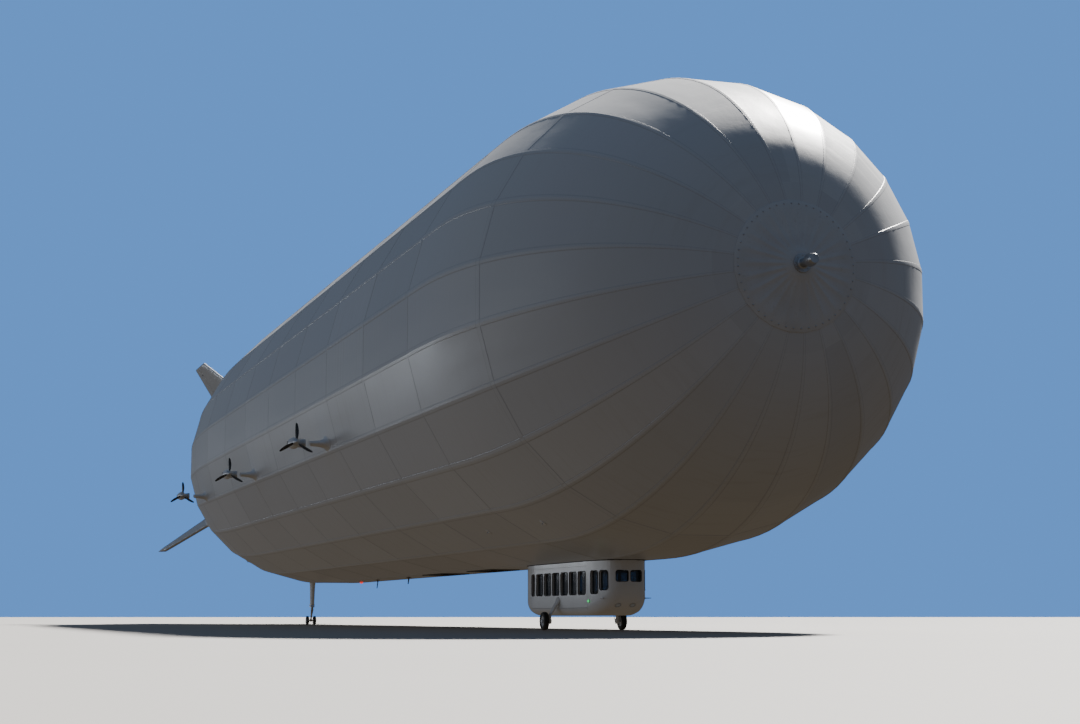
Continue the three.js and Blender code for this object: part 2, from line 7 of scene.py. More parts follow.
# %% The frame
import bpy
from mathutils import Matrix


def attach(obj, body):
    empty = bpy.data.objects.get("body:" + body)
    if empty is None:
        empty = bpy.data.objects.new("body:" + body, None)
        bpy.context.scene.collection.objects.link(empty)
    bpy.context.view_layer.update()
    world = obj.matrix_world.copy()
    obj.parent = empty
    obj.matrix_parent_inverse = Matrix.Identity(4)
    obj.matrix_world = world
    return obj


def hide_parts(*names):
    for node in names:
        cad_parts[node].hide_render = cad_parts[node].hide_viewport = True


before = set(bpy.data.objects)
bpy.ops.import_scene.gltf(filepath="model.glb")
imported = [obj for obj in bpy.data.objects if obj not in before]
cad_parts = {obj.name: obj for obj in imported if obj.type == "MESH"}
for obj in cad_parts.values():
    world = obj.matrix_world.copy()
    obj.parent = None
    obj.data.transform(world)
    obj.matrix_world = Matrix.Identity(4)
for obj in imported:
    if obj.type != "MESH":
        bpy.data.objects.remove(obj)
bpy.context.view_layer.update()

# %% [markdown]
# ## Helpers for shapes
# Most parts of an airship are rings of points joined by faces: a hull, a strut, a tyre, a cushion.
# So one small class collects points and faces, and turns them into a piece that rides on a CAD body.

# %% Imports and small maths
import math

import bmesh
import bpy
from mathutils import Matrix, Vector

TAU = 2 * math.pi
QUARTER = math.pi / 2


def mix(a, b, share):
    return a + (b - a) * share


def spread(low, high, count):
    """Evenly spaced values from low to high, with both ends."""
    return [mix(low, high, k / count) for k in range(count + 1)]


def smooth_step(low, high, value):
    t = min(1.0, max(0.0, (value - low) / (high - low)))
    return t * t * (3 - 2 * t)


def circle(middle, side, other, radius, segments):
    """Points round a middle, in the plane of two directions."""
    turns = [TAU * k / segments for k in range(segments)]
    return [tuple(middle + (side * math.cos(t) + other * math.sin(t)) * radius) for t in turns]


# %% Outward faces and crisp edges
def tidy_mesh(mesh, crease):
    """Turns all faces outwards and shades them smooth, except at edges that bend more than crease degrees."""
    shape = bmesh.new()
    shape.from_mesh(mesh)
    bmesh.ops.remove_doubles(shape, verts=shape.verts, dist=1e-6)
    bmesh.ops.dissolve_degenerate(shape, edges=shape.edges, dist=1e-7)
    bmesh.ops.recalc_face_normals(shape, faces=shape.faces)
    for face in shape.faces:
        face.smooth = True
    for edge in shape.edges:
        edge.smooth = len(edge.link_faces) == 2 and edge.calc_face_angle(0) < math.radians(crease)
    shape.to_mesh(mesh)
    shape.free()
    mesh.update()


# %% A form: points and faces on their way to a piece
class Form:
    def __init__(self):
        self.points, self.faces, self.coats = [], [], []

    def add(self, points, faces, coat=0):
        first = len(self.points)
        self.points += [tuple(p) for p in points]
        self.faces += [tuple(first + i for i in face) for face in faces]
        self.coats += [coat] * len(faces)
        return self

    def join(self, other, coat=None):
        """Takes in another form, with its own coats or with one for all of it."""
        self.add(other.points, other.faces)
        if other.coats:
            self.coats[-len(other.coats):] = other.coats if coat is None else [coat] * len(other.coats)
        return self

    def loft(self, rings, coat=0, ends=(True, True), loop=False):
        """Joins rings of the same count, each closed on itself. A loop joins the last ring to the first."""
        count, total = len(rings[0]), len(rings)
        faces = []
        for i in range(total if loop else total - 1):
            low, high = i * count, (i + 1) % total * count
            for k in range(count):
                beside = (k + 1) % count
                faces.append((low + k, low + beside, high + beside, high + k))
        if ends[0] and not loop:
            faces.append(tuple(reversed(range(count))))
        if ends[1] and not loop:
            faces.append(tuple(range((total - 1) * count, total * count)))
        return self.add([p for ring in rings for p in ring], faces, coat)

    def turned(self, profile, place=(0, 0, 0), axis="x", segments=32, coat=0):
        """A lathe: profile pairs are (along the axis, radius). A radius of 0 closes an end in a point, and a
        profile that ends where it starts makes a ring with a hole."""
        rings, closed = [], profile[0] == profile[-1]
        ends = (profile[0][1] > 0 and not closed, profile[-1][1] > 0 and not closed)
        for along, radius in profile:
            ring = []
            for k in range(segments):
                c, s = radius * math.cos(TAU * k / segments), radius * math.sin(TAU * k / segments)
                local = {"x": (along, c, s), "y": (s, along, c), "z": (c, s, along)}[axis]
                ring.append(tuple(p + q for p, q in zip(place, local)))
            rings.append(ring)
        return self.loft(rings, coat, ends)

    def block(self, low, high, edge, steps=2, axis="z", coat=0):
        """A box with rounded edges, stacked from rounded rectangles along one axis."""
        u, v, w = {"z": (0, 1, 2), "y": (2, 0, 1), "x": (1, 2, 0)}[axis]
        half = [(b - a) / 2 for a, b in zip(low, high)]
        middle = [(b + a) / 2 for a, b in zip(low, high)]
        edge = min(edge, *(h * 0.98 for h in half))
        turns, rings = spread(0.0, QUARTER, steps), []
        for way, t in [(-1, t) for t in reversed(turns)] + [(1, t) for t in turns]:
            radius, ring = edge * max(math.cos(t), 0.02), []
            for quarter, (side_u, side_v) in enumerate(((1, 1), (-1, 1), (-1, -1), (1, -1))):
                for turn in turns:
                    a = turn + quarter * QUARTER
                    p = [0.0, 0.0, 0.0]
                    p[u] = middle[u] + side_u * (half[u] - edge) + radius * math.cos(a)
                    p[v] = middle[v] + side_v * (half[v] - edge) + radius * math.sin(a)
                    p[w] = middle[w] + way * (half[w] - edge + edge * math.sin(t))
                    ring.append(tuple(p))
            rings.append(ring)
        return self.loft(rings, coat)

    def tube(self, path, radius, segments=10, coat=0):
        """A round bar along a path of points. The radius may be a list, one for each point."""
        points = [Vector(p) for p in path]
        radii = radius if isinstance(radius, (list, tuple)) else [radius] * len(points)
        rings, side = [], None
        for i, p in enumerate(points):
            ahead = (points[min(i + 1, len(points) - 1)] - points[max(i - 1, 0)]).normalized()
            if side is None:
                side = ahead.orthogonal().normalized()
            side = (side - ahead * side.dot(ahead)).normalized()
            rings.append(circle(p, side, ahead.cross(side), radii[i], segments))
        return self.loft(rings, coat)

    def moved(self, matrix):
        self.points = [tuple(matrix @ Vector(p)) for p in self.points]
        return self

    def mesh(self, name, crease=35):
        made = bpy.data.meshes.new(name)
        made.from_pydata(self.points, [], self.faces)
        made.polygons.foreach_set("material_index", self.coats)
        tidy_mesh(made, crease)
        return made


# %% From a form to a piece that rides on a body
triangle_count = {}


def add_piece(name, form, coats, body, stands_for=None, crease=35):
    """coats is one material or a list of them, and a form's coat numbers pick from it. stands_for is the CAD
    solid that the piece takes the place of, if there is one."""
    mesh = form.mesh(name, crease) if isinstance(form, Form) else form
    numbers = [face.material_index for face in mesh.polygons]
    mesh.materials.clear()
    for coat in coats if isinstance(coats, (list, tuple)) else [coats]:
        mesh.materials.append(coat)
    mesh.polygons.foreach_set("material_index", numbers)
    made = bpy.data.objects.new(name, mesh)
    bpy.context.scene.collection.objects.link(made)
    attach(made, body)
    if stands_for:
        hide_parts(stands_for)
    triangle_count[name] = sum(len(face.vertices) - 2 for face in mesh.polygons)
    return made


# %% [markdown]
# ## Helpers for finishes
# A finish is a material made of nodes. Its patterns are sums and masks of a few numbers, such as the place
# along the hull. Writing them as Python expressions keeps them readable, so a wire from one node to the
# next is wrapped in a class whose operators add the Math nodes.

# %% Wires
class Wire:
    def __init__(self, finish, socket):
        self.finish, self.socket = finish, socket

    def maths(self, operation, *values):
        return self.finish.node("ShaderNodeMath", {"operation": operation}, dict(enumerate(values)))

    def __add__(self, other):
        return self.maths("ADD", self, other)

    def __radd__(self, other):
        return self.maths("ADD", other, self)

    def __sub__(self, other):
        return self.maths("SUBTRACT", self, other)

    def __rsub__(self, other):
        return self.maths("SUBTRACT", other, self)

    def __mul__(self, other):
        return self.maths("MULTIPLY", self, other)

    def __rmul__(self, other):
        return self.maths("MULTIPLY", other, self)

    def __truediv__(self, other):
        return self.maths("DIVIDE", self, other)

    def __abs__(self):
        return self.maths("ABSOLUTE", self)

    def floor(self):
        return self.maths("FLOOR", self)

    def fraction(self):
        return self.maths("FRACT", self)

    def sine(self):
        return self.maths("SINE", self)

    def least(self, other):
        return self.maths("MINIMUM", self, other)

    def between(self, low, high):
        """0 below low, 1 above high, and an even rise between them. Low may be the larger one."""
        return self.finish.node("ShaderNodeMapRange", {"clamp": True},
                                {"Value": self, "From Min": low, "From Max": high, "To Min": 0, "To Max": 1})


# %% Finishes
class Finish:
    def __init__(self, name, colour, roughness, **constants):
        self.material = bpy.data.materials.new(name)
        self.material.use_nodes = True
        self.material.diffuse_color = (*colour, 1)
        self.tree = self.material.node_tree
        self.shader = self.tree.nodes["Principled BSDF"]
        self.shader.inputs["Base Color"].default_value = (*colour, 1)
        self.shader.inputs["Roughness"].default_value = roughness
        for key, value in constants.items():
            self.shader.inputs[key.replace("_", " ").title()].default_value = value

    def node(self, kind, settings=None, sockets=None, out=0):
        """Any node: its type, its settings, and the values or wires of its sockets. Gives back its output."""
        made = self.tree.nodes.new(kind)
        for key, value in (settings or {}).items():
            setattr(made, key, value)
        for key, value in (sockets or {}).items():
            self.feed(made.inputs[key], value)
        if isinstance(out, tuple):
            return [Wire(self, made.outputs[o]) for o in out]
        return Wire(self, made.outputs[out])

    def feed(self, socket, value):
        if isinstance(value, Wire):
            self.tree.links.new(value.socket, socket)
        elif isinstance(value, (tuple, list)) and socket.type == "RGBA":
            socket.default_value = (*value, 1)
        else:
            socket.default_value = value

    def place(self, scale=(1, 1, 1)):
        """The point on the piece, in metres, stretched by scale."""
        point = self.node("ShaderNodeTexCoord", out="Object")
        return self.node("ShaderNodeMapping", {"vector_type": "POINT"}, {"Vector": point, "Scale": scale})

    def axes(self):
        """The point's x, y and z, as three wires."""
        return self.node("ShaderNodeSeparateXYZ", None, {"Vector": self.place()}, out=("X", "Y", "Z"))

    def noise(self, scale, detail, stretch=(1, 1, 1)):
        return self.node("ShaderNodeTexNoise", None,
                         {"Vector": self.place(stretch), "Scale": scale, "Detail": detail, "Roughness": 0.5})

    def blend(self, share, first, second):
        """A colour between two: first where share is 0, second where it is 1."""
        return self.node("ShaderNodeMix", {"data_type": "RGBA"}, {0: share, 6: first, 7: second}, out=2)

    def colour(self, wire):
        self.feed(self.shader.inputs["Base Color"], wire)

    def rough(self, wire):
        self.feed(self.shader.inputs["Roughness"], wire)

    def relief(self, height, strength, distance):
        bump = self.node("ShaderNodeBump", None,
                         {"Strength": strength, "Distance": distance, "Height": height})
        self.feed(self.shader.inputs["Normal"], bump)


def darker(colour, *shares):
    """A colour times one share, or times a share for each of red, green and blue."""
    return tuple(c * k for c, k in zip(colour, shares * 3 if len(shares) == 1 else shares))


# %% [markdown]
# ## The hull's shape
# A rigid airship's skin is cloth stretched over rings and long beams, the frames and longerons. Between two
# longerons it is almost flat, so the section is a polygon with 24 sides, and a flat faces down. Along the
# hull it is smooth. A turned body would lose the flats, so rings of 24 gores are lofted from nose to tail.

# %% Numbers of the hull, as in the CAD model
HULL_LENGTH, HULL_RADIUS, GORES = 12.35, 1.0, 24
NOSE_LENGTH, NOSE_POWER = 1.6, 2.3
TAIL_LENGTH, TAIL_POWER = 4.96, 2.4
AXIS_HEIGHT = 1.3
NOSE_X = (HULL_LENGTH - 0.13) / 2
SKIN_START, SKIN_END = 0.026, 12.05
HALF_GORE = math.pi / GORES
SIDES = (("port", 1), ("starboard", -1))


def frame_x(station):
    """The place on X of a station, which runs aft from the nose."""
    return NOSE_X - station


def hull_radius(station):
    if station < NOSE_LENGTH:
        return HULL_RADIUS * (1 - (1 - station / NOSE_LENGTH) ** NOSE_POWER) ** (1 / NOSE_POWER)
    behind = max(0.0, station - (HULL_LENGTH - TAIL_LENGTH)) / TAIL_LENGTH
    return HULL_RADIUS * (1 - behind ** TAIL_POWER)


def flat_factor(angle):
    """How far out a flat gore is at an angle from straight down, as a share of the radius at its corners."""
    inside = (angle + HALF_GORE) % (2 * HALF_GORE) - HALF_GORE
    return math.cos(HALF_GORE) / math.cos(inside)


def around_axis(x, out, angle):
    """A point at a distance out from the hull's axis, at an angle from straight down."""
    return (x, out * math.sin(angle), AXIS_HEIGHT - out * math.cos(angle))


def away_from_axis(angle, ahead=0.0):
    """The direction that points away from the hull's axis, tilted ahead by a slope."""
    return (ahead, math.sin(angle), -math.cos(angle))


def hull_point(station, angle, out=0.0):
    """A point on the skin, moved outwards by out."""
    return around_axis(frame_x(station), hull_radius(station) * flat_factor(angle) + out, angle)


print("hull", HULL_LENGTH, "m long, a gore is", round(2 * HULL_RADIUS * math.sin(HALF_GORE), 3), "m wide")

# %% [markdown]
# Tapes cover the laced joints of the skin: one along each longeron and one round each main frame. They are
# only a millimetre proud, yet they catch the light all along the ship, so they are geometry.
# The rings of the mesh lie close together where a tape's edge is, and far apart elsewhere.

# %% Where the rings and the columns of the skin lie
BAY_START, BAY = 0.05, 0.85
FRAME_STATIONS = [0.90] + [1.75 + BAY * k for k in range(12)]
TAPE_HALF, TAPE_EDGE, TAPE_PROUD = 0.013, 0.0018, 0.0012
VENT_STATIONS, VENT_HALF_LENGTH, VENT_HALF_WIDTH = [3.76, 4.72], 0.21, 0.075
NOSE_RINGS, RING_STEP, RING_CLEARANCE = 26, 0.19, 0.02


def skin_stations():
    stations = {mix(SKIN_START, NOSE_LENGTH, (k / NOSE_RINGS) ** 1.9) for k in range(NOSE_RINGS)}
    stations |= set(spread(NOSE_LENGTH, SKIN_END, int((SKIN_END - NOSE_LENGTH) / RING_STEP)))
    keep = {vent + side * VENT_HALF_LENGTH for vent in VENT_STATIONS for side in (-1, 1)}
    for middle in FRAME_STATIONS:
        keep |= {middle + side * (TAPE_HALF + part * TAPE_EDGE) for side in (-1, 1) for part in (0, 1)}
    clear = {s for s in stations if all(abs(s - k) > RING_CLEARANCE for k in keep)}
    return sorted(clear | keep | {SKIN_START, SKIN_END})


def tape_height(distance):
    """How proud the skin is at a distance from the middle of a tape."""
    return TAPE_PROUD * (1 - smooth_step(TAPE_HALF - 0.0002, TAPE_HALF + TAPE_EDGE - 0.0002, distance))


GORE_WIDTH = 2 * HULL_RADIUS * math.sin(HALF_GORE)
TAPE_SHARE = TAPE_HALF / GORE_WIDTH
TAPE_END = (TAPE_HALF + TAPE_EDGE) / GORE_WIDTH
VENT_SHARE = 0.5 - VENT_HALF_WIDTH / GORE_WIDTH
GORE_SHARES = [0, TAPE_SHARE, TAPE_END, VENT_SHARE, 0.36, 0.5]
GORE_SHARES += [1 - share for share in GORE_SHARES[4:0:-1]]


# %% The skin as one shell, with two openings in its keel
def skin_point(station, gore, share):
    """share runs across a gore, from one longeron to the next, along the flat."""
    across = (share - 0.5) * 2 * math.sin(HALF_GORE)
    angle = gore * 2 * HALF_GORE + math.atan2(across, math.cos(HALF_GORE))
    out = tape_height(min(share, 1 - share) * GORE_WIDTH)
    out = max(out, max(tape_height(abs(station - f)) for f in FRAME_STATIONS))
    return hull_point(station, angle, out)


def hull_skin():
    stations = skin_stations()
    rows = [[skin_point(s, gore, share) for gore in range(GORES) for share in GORE_SHARES] for s in stations]
    count, faces = GORES * len(GORE_SHARES), []
    first, last = GORE_SHARES.index(VENT_SHARE), GORE_SHARES.index(1 - VENT_SHARE)
    for i in range(len(stations) - 1):
        middle = (stations[i] + stations[i + 1]) / 2
        over_vent = any(abs(middle - v) < VENT_HALF_LENGTH for v in VENT_STATIONS)
        for k in range(count):
            if not (over_vent and first <= k < last):
                a, b = i * count + k, i * count + (k + 1) % count
                faces.append((a, b, b + count, a + count))
    return Form().add([p for row in rows for p in row], faces)


print("skin:", len(skin_stations()), "rings of", GORES * len(GORE_SHARES), "points")

# %% [markdown]
# ## The skin's finish
# The cloth is a white laminate with a satin film. Each panel between two frames and two longerons comes from
# its own piece of cloth, so panels differ a little in tone. Rain leaves faint streaks that run round the
# hull, and the film has long soft ripples, which draw the streaks of light along the flank.

# %% Laminate
LAST_BAY, STITCH = 13.5, 0.011


def laminate(name, colour, panelled=True):
    made = Finish(name, colour, 0.34, coat_weight=0.18, coat_roughness=0.22)
    x, y, z = made.axes()
    gore = y.maths("ARCTAN2", y, AXIS_HEIGHT - z) * (GORES / TAU) + 0.5
    station = NOSE_X - x
    bay = ((station - BAY_START) / BAY).least(LAST_BAY)
    cell = made.node("ShaderNodeCombineXYZ", None, {"X": gore.floor(), "Y": bay.floor()})
    lot = made.node("ShaderNodeTexWhiteNoise", {"noise_dimensions": "2D"}, {"Vector": cell})
    cloud = made.noise(1.1, 4, (0.5, 1, 1))
    streaks = made.noise(9.0, 3, (6.0, 0.5, 0.35))
    grime = (streaks - 0.52).between(0.0, 0.2) * (cloud - 0.35).between(0.0, 0.3)
    tone = lot * (0.62 if panelled else 0.0) + cloud * 0.38
    body = made.blend(tone, darker(colour, 0.84), colour)
    body = made.blend(grime * 0.30, body, darker(colour, 0.80, 0.77, 0.72))
    ripple = made.noise(3.2, 2, (0.22, 1, 1))
    crinkle = made.noise(26.0, 3, (0.5, 1, 1))
    height = ripple * 3.0 + crinkle * 0.18
    if panelled:
        across = 0.5 - abs(gore.fraction() - 0.5)
        along = 0.5 - abs(bay.fraction() - 0.5)
        ring_edge = abs(along * (BAY / GORE_WIDTH) - TAPE_END) + station.between(0.6, 0.5)
        hairline = 1 - abs(across - TAPE_END).least(ring_edge).between(0.004, 0.016)
        seam = abs(across - TAPE_SHARE * 0.72).between(0.0045, 0.002)
        sewn = seam * (station * (TAU / STITCH)).sine().between(0.1, 0.5)
        body = made.blend(hairline * (0.15 + cloud * 0.5), body, darker(colour, 0.55))
        body = made.blend(sewn * 0.55, body, darker(colour, 0.62))
        height = height - sewn * 0.10
    made.colour(body)
    made.rough(0.30 + cloud * 0.10 + grime * 0.12)
    made.relief(height, 0.22, 0.01)
    return made.material


SKIN_WHITE = laminate("skin_laminate", (0.70, 0.71, 0.725))
print("finish", SKIN_WHITE.name, "with", len(SKIN_WHITE.node_tree.nodes), "nodes")

# %% Putting the skin on
skin = add_piece("hull_skin", hull_skin(), SKIN_WHITE, "hull", "envelope", crease=12)
wall = skin.modifiers.new("wall", "SOLIDIFY")
wall.thickness, wall.offset = 0.010, -1
print("hull_skin", triangle_count["hull_skin"], "triangles before the wall is added")

# %% [markdown]
# ## Curves through measured points
# A fin's thickness, or the width of the cabin, is known at a few places only. A monotone cubic passes
# through those points without overshooting, so that a flat stays flat and a nose stays round.

# %% A smooth curve through points
class Curve:
    def __init__(self, pairs):
        self.xs, self.ys = [p[0] for p in pairs], [p[1] for p in pairs]
        steps = [(self.ys[i + 1] - self.ys[i]) / (self.xs[i + 1] - self.xs[i]) for i in range(len(pairs) - 1)]
        inner = [0.0 if a * b <= 0 else 2 * a * b / (a + b) for a, b in zip(steps, steps[1:])]
        self.slopes = [steps[0]] + inner + [steps[-1]]

    def __call__(self, x):
        x = min(max(x, self.xs[0]), self.xs[-1])
        i = max(k for k in range(len(self.xs) - 1) if k == 0 or self.xs[k] <= x)
        wide = self.xs[i + 1] - self.xs[i]
        t = (x - self.xs[i]) / wide
        return ((2 * t**3 - 3 * t**2 + 1) * self.ys[i] + (t**3 - 2 * t**2 + t) * wide * self.slopes[i]
                + (3 * t**2 - 2 * t**3) * self.ys[i + 1] + (t**3 - t**2) * wide * self.slopes[i + 1])


# %% [markdown]
# ## Small fittings
# Screws, bolts and lamps are what tells the eye how big the ship is. A screw is a low dome, and a bolt has
# six sides on a round washer. Each is added to the form of the piece that it holds.

# %% Screws, bolts and domes
def facing(place, normal):
    """The matrix that takes a fitting, built upright at the origin, to a place on a surface."""
    return Matrix.Translation(place) @ Vector(normal).to_track_quat("Z", "Y").to_matrix().to_4x4()


def add_fitting(form, place, normal, fitting, coat=0):
    form.join(fitting.moved(facing(place, normal)), coat)


def screw(radius):
    """A domed head, sunk a little at its foot so that it sits on a curved surface."""
    return Form().turned([(-radius * 0.6, radius), (0.0, radius), (radius * 0.32, radius * 0.86),
                          (radius * 0.5, radius * 0.5), (radius * 0.55, 0.0)], axis="z", segments=10)


def bolt(radius):
    washer = [(-radius * 0.6, radius * 1.35), (0.0, radius * 1.35), (radius * 0.18, radius * 1.3)]
    head = [(0.0, radius), (radius * 0.75, radius), (radius * 0.9, radius * 0.82)]
    return Form().turned(washer, axis="z", segments=14).turned(head, axis="z", segments=6)


def dome(radius, height, segments=20):
    profile = [(-height * 0.3, radius), (0.0, radius)]
    profile += [(height * math.sin(t), radius * math.cos(t)) for t in spread(0.15, QUARTER, 7)[:-1]]
    return Form().turned(profile + [(height, 0.0)], axis="z", segments=segments)


# %% [markdown]
# ## Hard finishes
# The shells are painted composite, with a little orange peel in the gloss. Metal is brushed, rubber is dull
# and a bit dusty, and carbon cloth shows its twill under the lacquer. Dirt and dust lie in soft clouds and
# in fine specks, and never evenly.

# %% Painted shells and dark panels
def painted(name, colour, roughness, dirt=0.5, peel=0.12, coat=0.3):
    made = Finish(name, colour, roughness, coat_weight=coat, coat_roughness=0.12)
    cloud = made.noise(6.0, 3)
    specks = made.noise(90.0, 2)
    soil = ((cloud - 0.5).between(0.0, 0.22) * 0.6 + (specks - 0.62).between(0.0, 0.08) * 0.4) * dirt
    made.colour(made.blend(soil, colour, darker(colour, 0.74, 0.71, 0.66)))
    made.rough(roughness + soil * 0.25 + specks * 0.05)
    made.relief(made.noise(420.0, 1) * 0.5 + cloud, peel, 0.0006)
    return made.material


SHELL_WHITE = painted("shell_paint", (0.76, 0.77, 0.78), 0.28)
PANEL_DARK = painted("dark_panel", (0.018, 0.019, 0.021), 0.5, 0.5, 0.2, 0.05)


# %% Metal, rubber, carbon cloth and glass
def brushed_metal(name, colour, roughness, grain=(1, 1, 40)):
    made = Finish(name, colour, roughness, metallic=1.0)
    lines = made.noise(60.0, 3, grain)
    stain = made.noise(14.0, 3)
    made.colour(made.blend((stain - 0.45).between(0.0, 0.3) * 0.5, colour, darker(colour, 0.55)))
    made.rough(roughness - 0.08 + lines * 0.2 + (stain - 0.5).between(0.0, 0.3) * 0.15)
    made.relief(lines, 0.06, 0.0005)
    return made.material


def rubber(name, colour, dust=0.5):
    made = Finish(name, colour, 0.72)
    dusty = (made.noise(11.0, 4) - 0.45).between(0.0, 0.25) * dust
    grain = made.noise(260.0, 2)
    made.colour(made.blend(dusty, colour, (0.13, 0.125, 0.115)))
    made.rough(0.66 + dusty * 0.22 + grain * 0.06)
    made.relief(grain, 0.25, 0.0006)
    return made.material


def carbon_cloth(name, tow):
    """Squares as wide as a tow, which is one strand of the cloth. One square in four is lighter."""
    made = Finish(name, (0.02, 0.021, 0.024), 0.32, coat_weight=0.6, coat_roughness=0.06)
    x, y, z = made.axes()
    warp = ((x + y) / tow).floor()
    weft = ((z - y) / tow).floor()
    twill = ((warp + weft * 2) / 4).fraction().between(0.49, 0.51)
    made.colour(made.blend(twill, (0.012, 0.013, 0.015), (0.040, 0.042, 0.048)))
    made.rough(0.26 + twill * 0.16)
    made.relief(twill * 0.4 + made.noise(30.0, 2), 0.1, 0.0004)
    return made.material


def tinted_glass(name, colour, alpha):
    made = Finish(name, colour, 0.05, alpha=alpha, coat_weight=0.5, coat_roughness=0.03)
    smear = (made.noise(16.0, 3, (1, 1, 2)) - 0.5).between(0.0, 0.3)
    made.rough(0.04 + smear * 0.09)
    made.colour(made.blend(smear * 0.35, colour, (0.10, 0.12, 0.14)))
    return made.material


def glowing(name, colour, strength):
    """A small lamp's lens: coloured glass that is lit from within."""
    made = Finish(name, colour, 0.12, coat_weight=0.8, emission_strength=strength)
    made.shader.inputs["Emission Color"].default_value = (*colour, 1)
    _x, _y, z = made.axes()
    made.relief((z * 900.0).sine(), 0.2, 0.0005)
    return made.material


STEEL = brushed_metal("brushed_steel", (0.55, 0.56, 0.58), 0.34)
ALLOY = brushed_metal("cast_alloy", (0.62, 0.63, 0.65), 0.46, (6, 6, 6))
TYRE = rubber("tyre_rubber", (0.020, 0.020, 0.021))
SEAL = rubber("seal_rubber", (0.025, 0.026, 0.028), 0.3)
CARBON = carbon_cloth("carbon_cloth", tow=0.0028)
GLASS = tinted_glass("cabin_glass", (0.020, 0.030, 0.040), 0.62)
LAMP_RED = glowing("lamp_red", (0.85, 0.03, 0.02), 1.2)
LAMP_GREEN = glowing("lamp_green", (0.02, 0.65, 0.16), 1.2)
LAMP_WHITE = glowing("lamp_white", (0.90, 0.92, 0.95), 1.5)
LAMP_CLEAR = glowing("lamp_clear", (0.42, 0.46, 0.50), 0.04)
print("finishes:", len(bpy.data.materials))

# %% [markdown]
# ## Nose cap and mooring probe
# The cap is a shallow dish of composite that closes the skin's front ring. It takes the mooring load, so it
# has a stiffening rib for every gore and a ring of screws. The probe is a turned spindle: a flange that is
# bolted to the dish, a shank, a catch groove and the head that goes into the mast's cup.

# %% Nose cap
CAP_RADIUS = hull_radius(SKIN_START) + 0.002
CAP_X = frame_x(SKIN_START) + 0.0003
CAP_HEIGHT = Curve([(0.0, 0.056), (0.040, 0.056), (0.062, 0.046), (0.150, 0.0235), (0.225, 0.0095),
                    (CAP_RADIUS, 0.0022)])
CAP_SEGMENTS, CAP_SCREWS, SCREW_RING, CAP_RIB = GORES * 6, 48, 0.2265, 0.0022


def cap_ring(radius, level=None):
    """One ring of the dish. Round its middle it is a circle, and at its rim it follows the gores."""
    ring = []
    for k in range(CAP_SEGMENTS):
        angle = TAU * (k + 0.5) / CAP_SEGMENTS
        from_rib = abs((angle / HALF_GORE / 2 + 0.5) % 1 - 0.5) * 2 * HALF_GORE * radius
        rib = CAP_RIB * (1 - smooth_step(0.004, 0.0085, from_rib))
        rib *= smooth_step(0.06, 0.08, radius) * (1 - smooth_step(0.20, 0.222, radius))
        height = CAP_HEIGHT(radius) + rib if level is None else level
        out = radius * mix(1.0, flat_factor(angle), (radius / CAP_RADIUS) ** 4)
        ring.append(around_axis(CAP_X + height, out, angle))
    return ring


def nose_cap():
    radii = [0.006, 0.03, 0.042, 0.052, 0.062, 0.08, 0.10, 0.125, 0.15, 0.175, 0.20, 0.22, 0.232, CAP_RADIUS]
    middle, across, up = Vector((CAP_X - 0.012, 0, AXIS_HEIGHT)), Vector((0, 1, 0)), Vector((0, 0, 1))
    hub = circle(middle, across, up, 0.006, CAP_SEGMENTS)
    rings = [hub, cap_ring(CAP_RADIUS - 0.026, -0.012), cap_ring(CAP_RADIUS - 0.001, -0.004)]
    form = Form().loft(rings + [cap_ring(radius) for radius in reversed(radii)])
    for k in range(CAP_SCREWS):
        place = around_axis(CAP_X + CAP_HEIGHT(SCREW_RING), SCREW_RING, TAU * (k + 0.5) / CAP_SCREWS)
        add_fitting(form, place, (1, 0, 0), screw(0.0032), coat=1)
    return form


CAP_WHITE = painted("cap_paint", (0.66, 0.67, 0.685), 0.32, 0.6)
add_piece("nose_dish", nose_cap(), [CAP_WHITE, STEEL], "hull", "nose_cap")

# %% Mooring probe
PROBE_BASE = frame_x(SKIN_START) + 0.056 + 0.0006
PROBE_LENGTH = NOSE_X + 0.130 - PROBE_BASE


def mooring_probe():
    profile = [(0.0, 0.0), (0.0, 0.0335), (0.0008, 0.034), (0.006, 0.034), (0.007, 0.033), (0.0072, 0.021),
               (0.010, 0.0165), (0.016, 0.0150), (0.020, 0.0148)]
    head = [(0.064, 0.0135), (0.060, 0.0165), (0.056, 0.0170), (0.052, 0.0165), (0.049, 0.0115),
            (0.044, 0.0115), (0.041, 0.0225), (0.038, 0.0240), (0.033, 0.0240), (0.002, 0.0178),
            (0.0, 0.0165), (0.0, 0.0)]
    profile += [(PROBE_LENGTH - before, radius) for before, radius in head]
    form = Form().turned(profile, (PROBE_BASE, 0, AXIS_HEIGHT), "x", 48)
    for k in range(8):
        place = around_axis(PROBE_BASE + 0.0068, 0.0275, math.pi - TAU * k / 8)
        add_fitting(form, place, (1, 0, 0), bolt(0.0026))
    return form


add_piece("probe_spindle", mooring_probe(), STEEL, "hull", "mooring_probe", crease=28)
print("nose cap", round(2 * CAP_RADIUS, 3), "m across, probe", round(PROBE_LENGTH, 3), "m long")

# %% [markdown]
# ## Tail cone
# A hard fairing closes the skin at the stern and carries the white stern lamp. Its joint with the skin is
# covered by a riveted band.

# %% Tail cone
TIP_RADIUS, BAND_PROUD, BAND_RIVETS = 0.018, 0.0012, 12.068


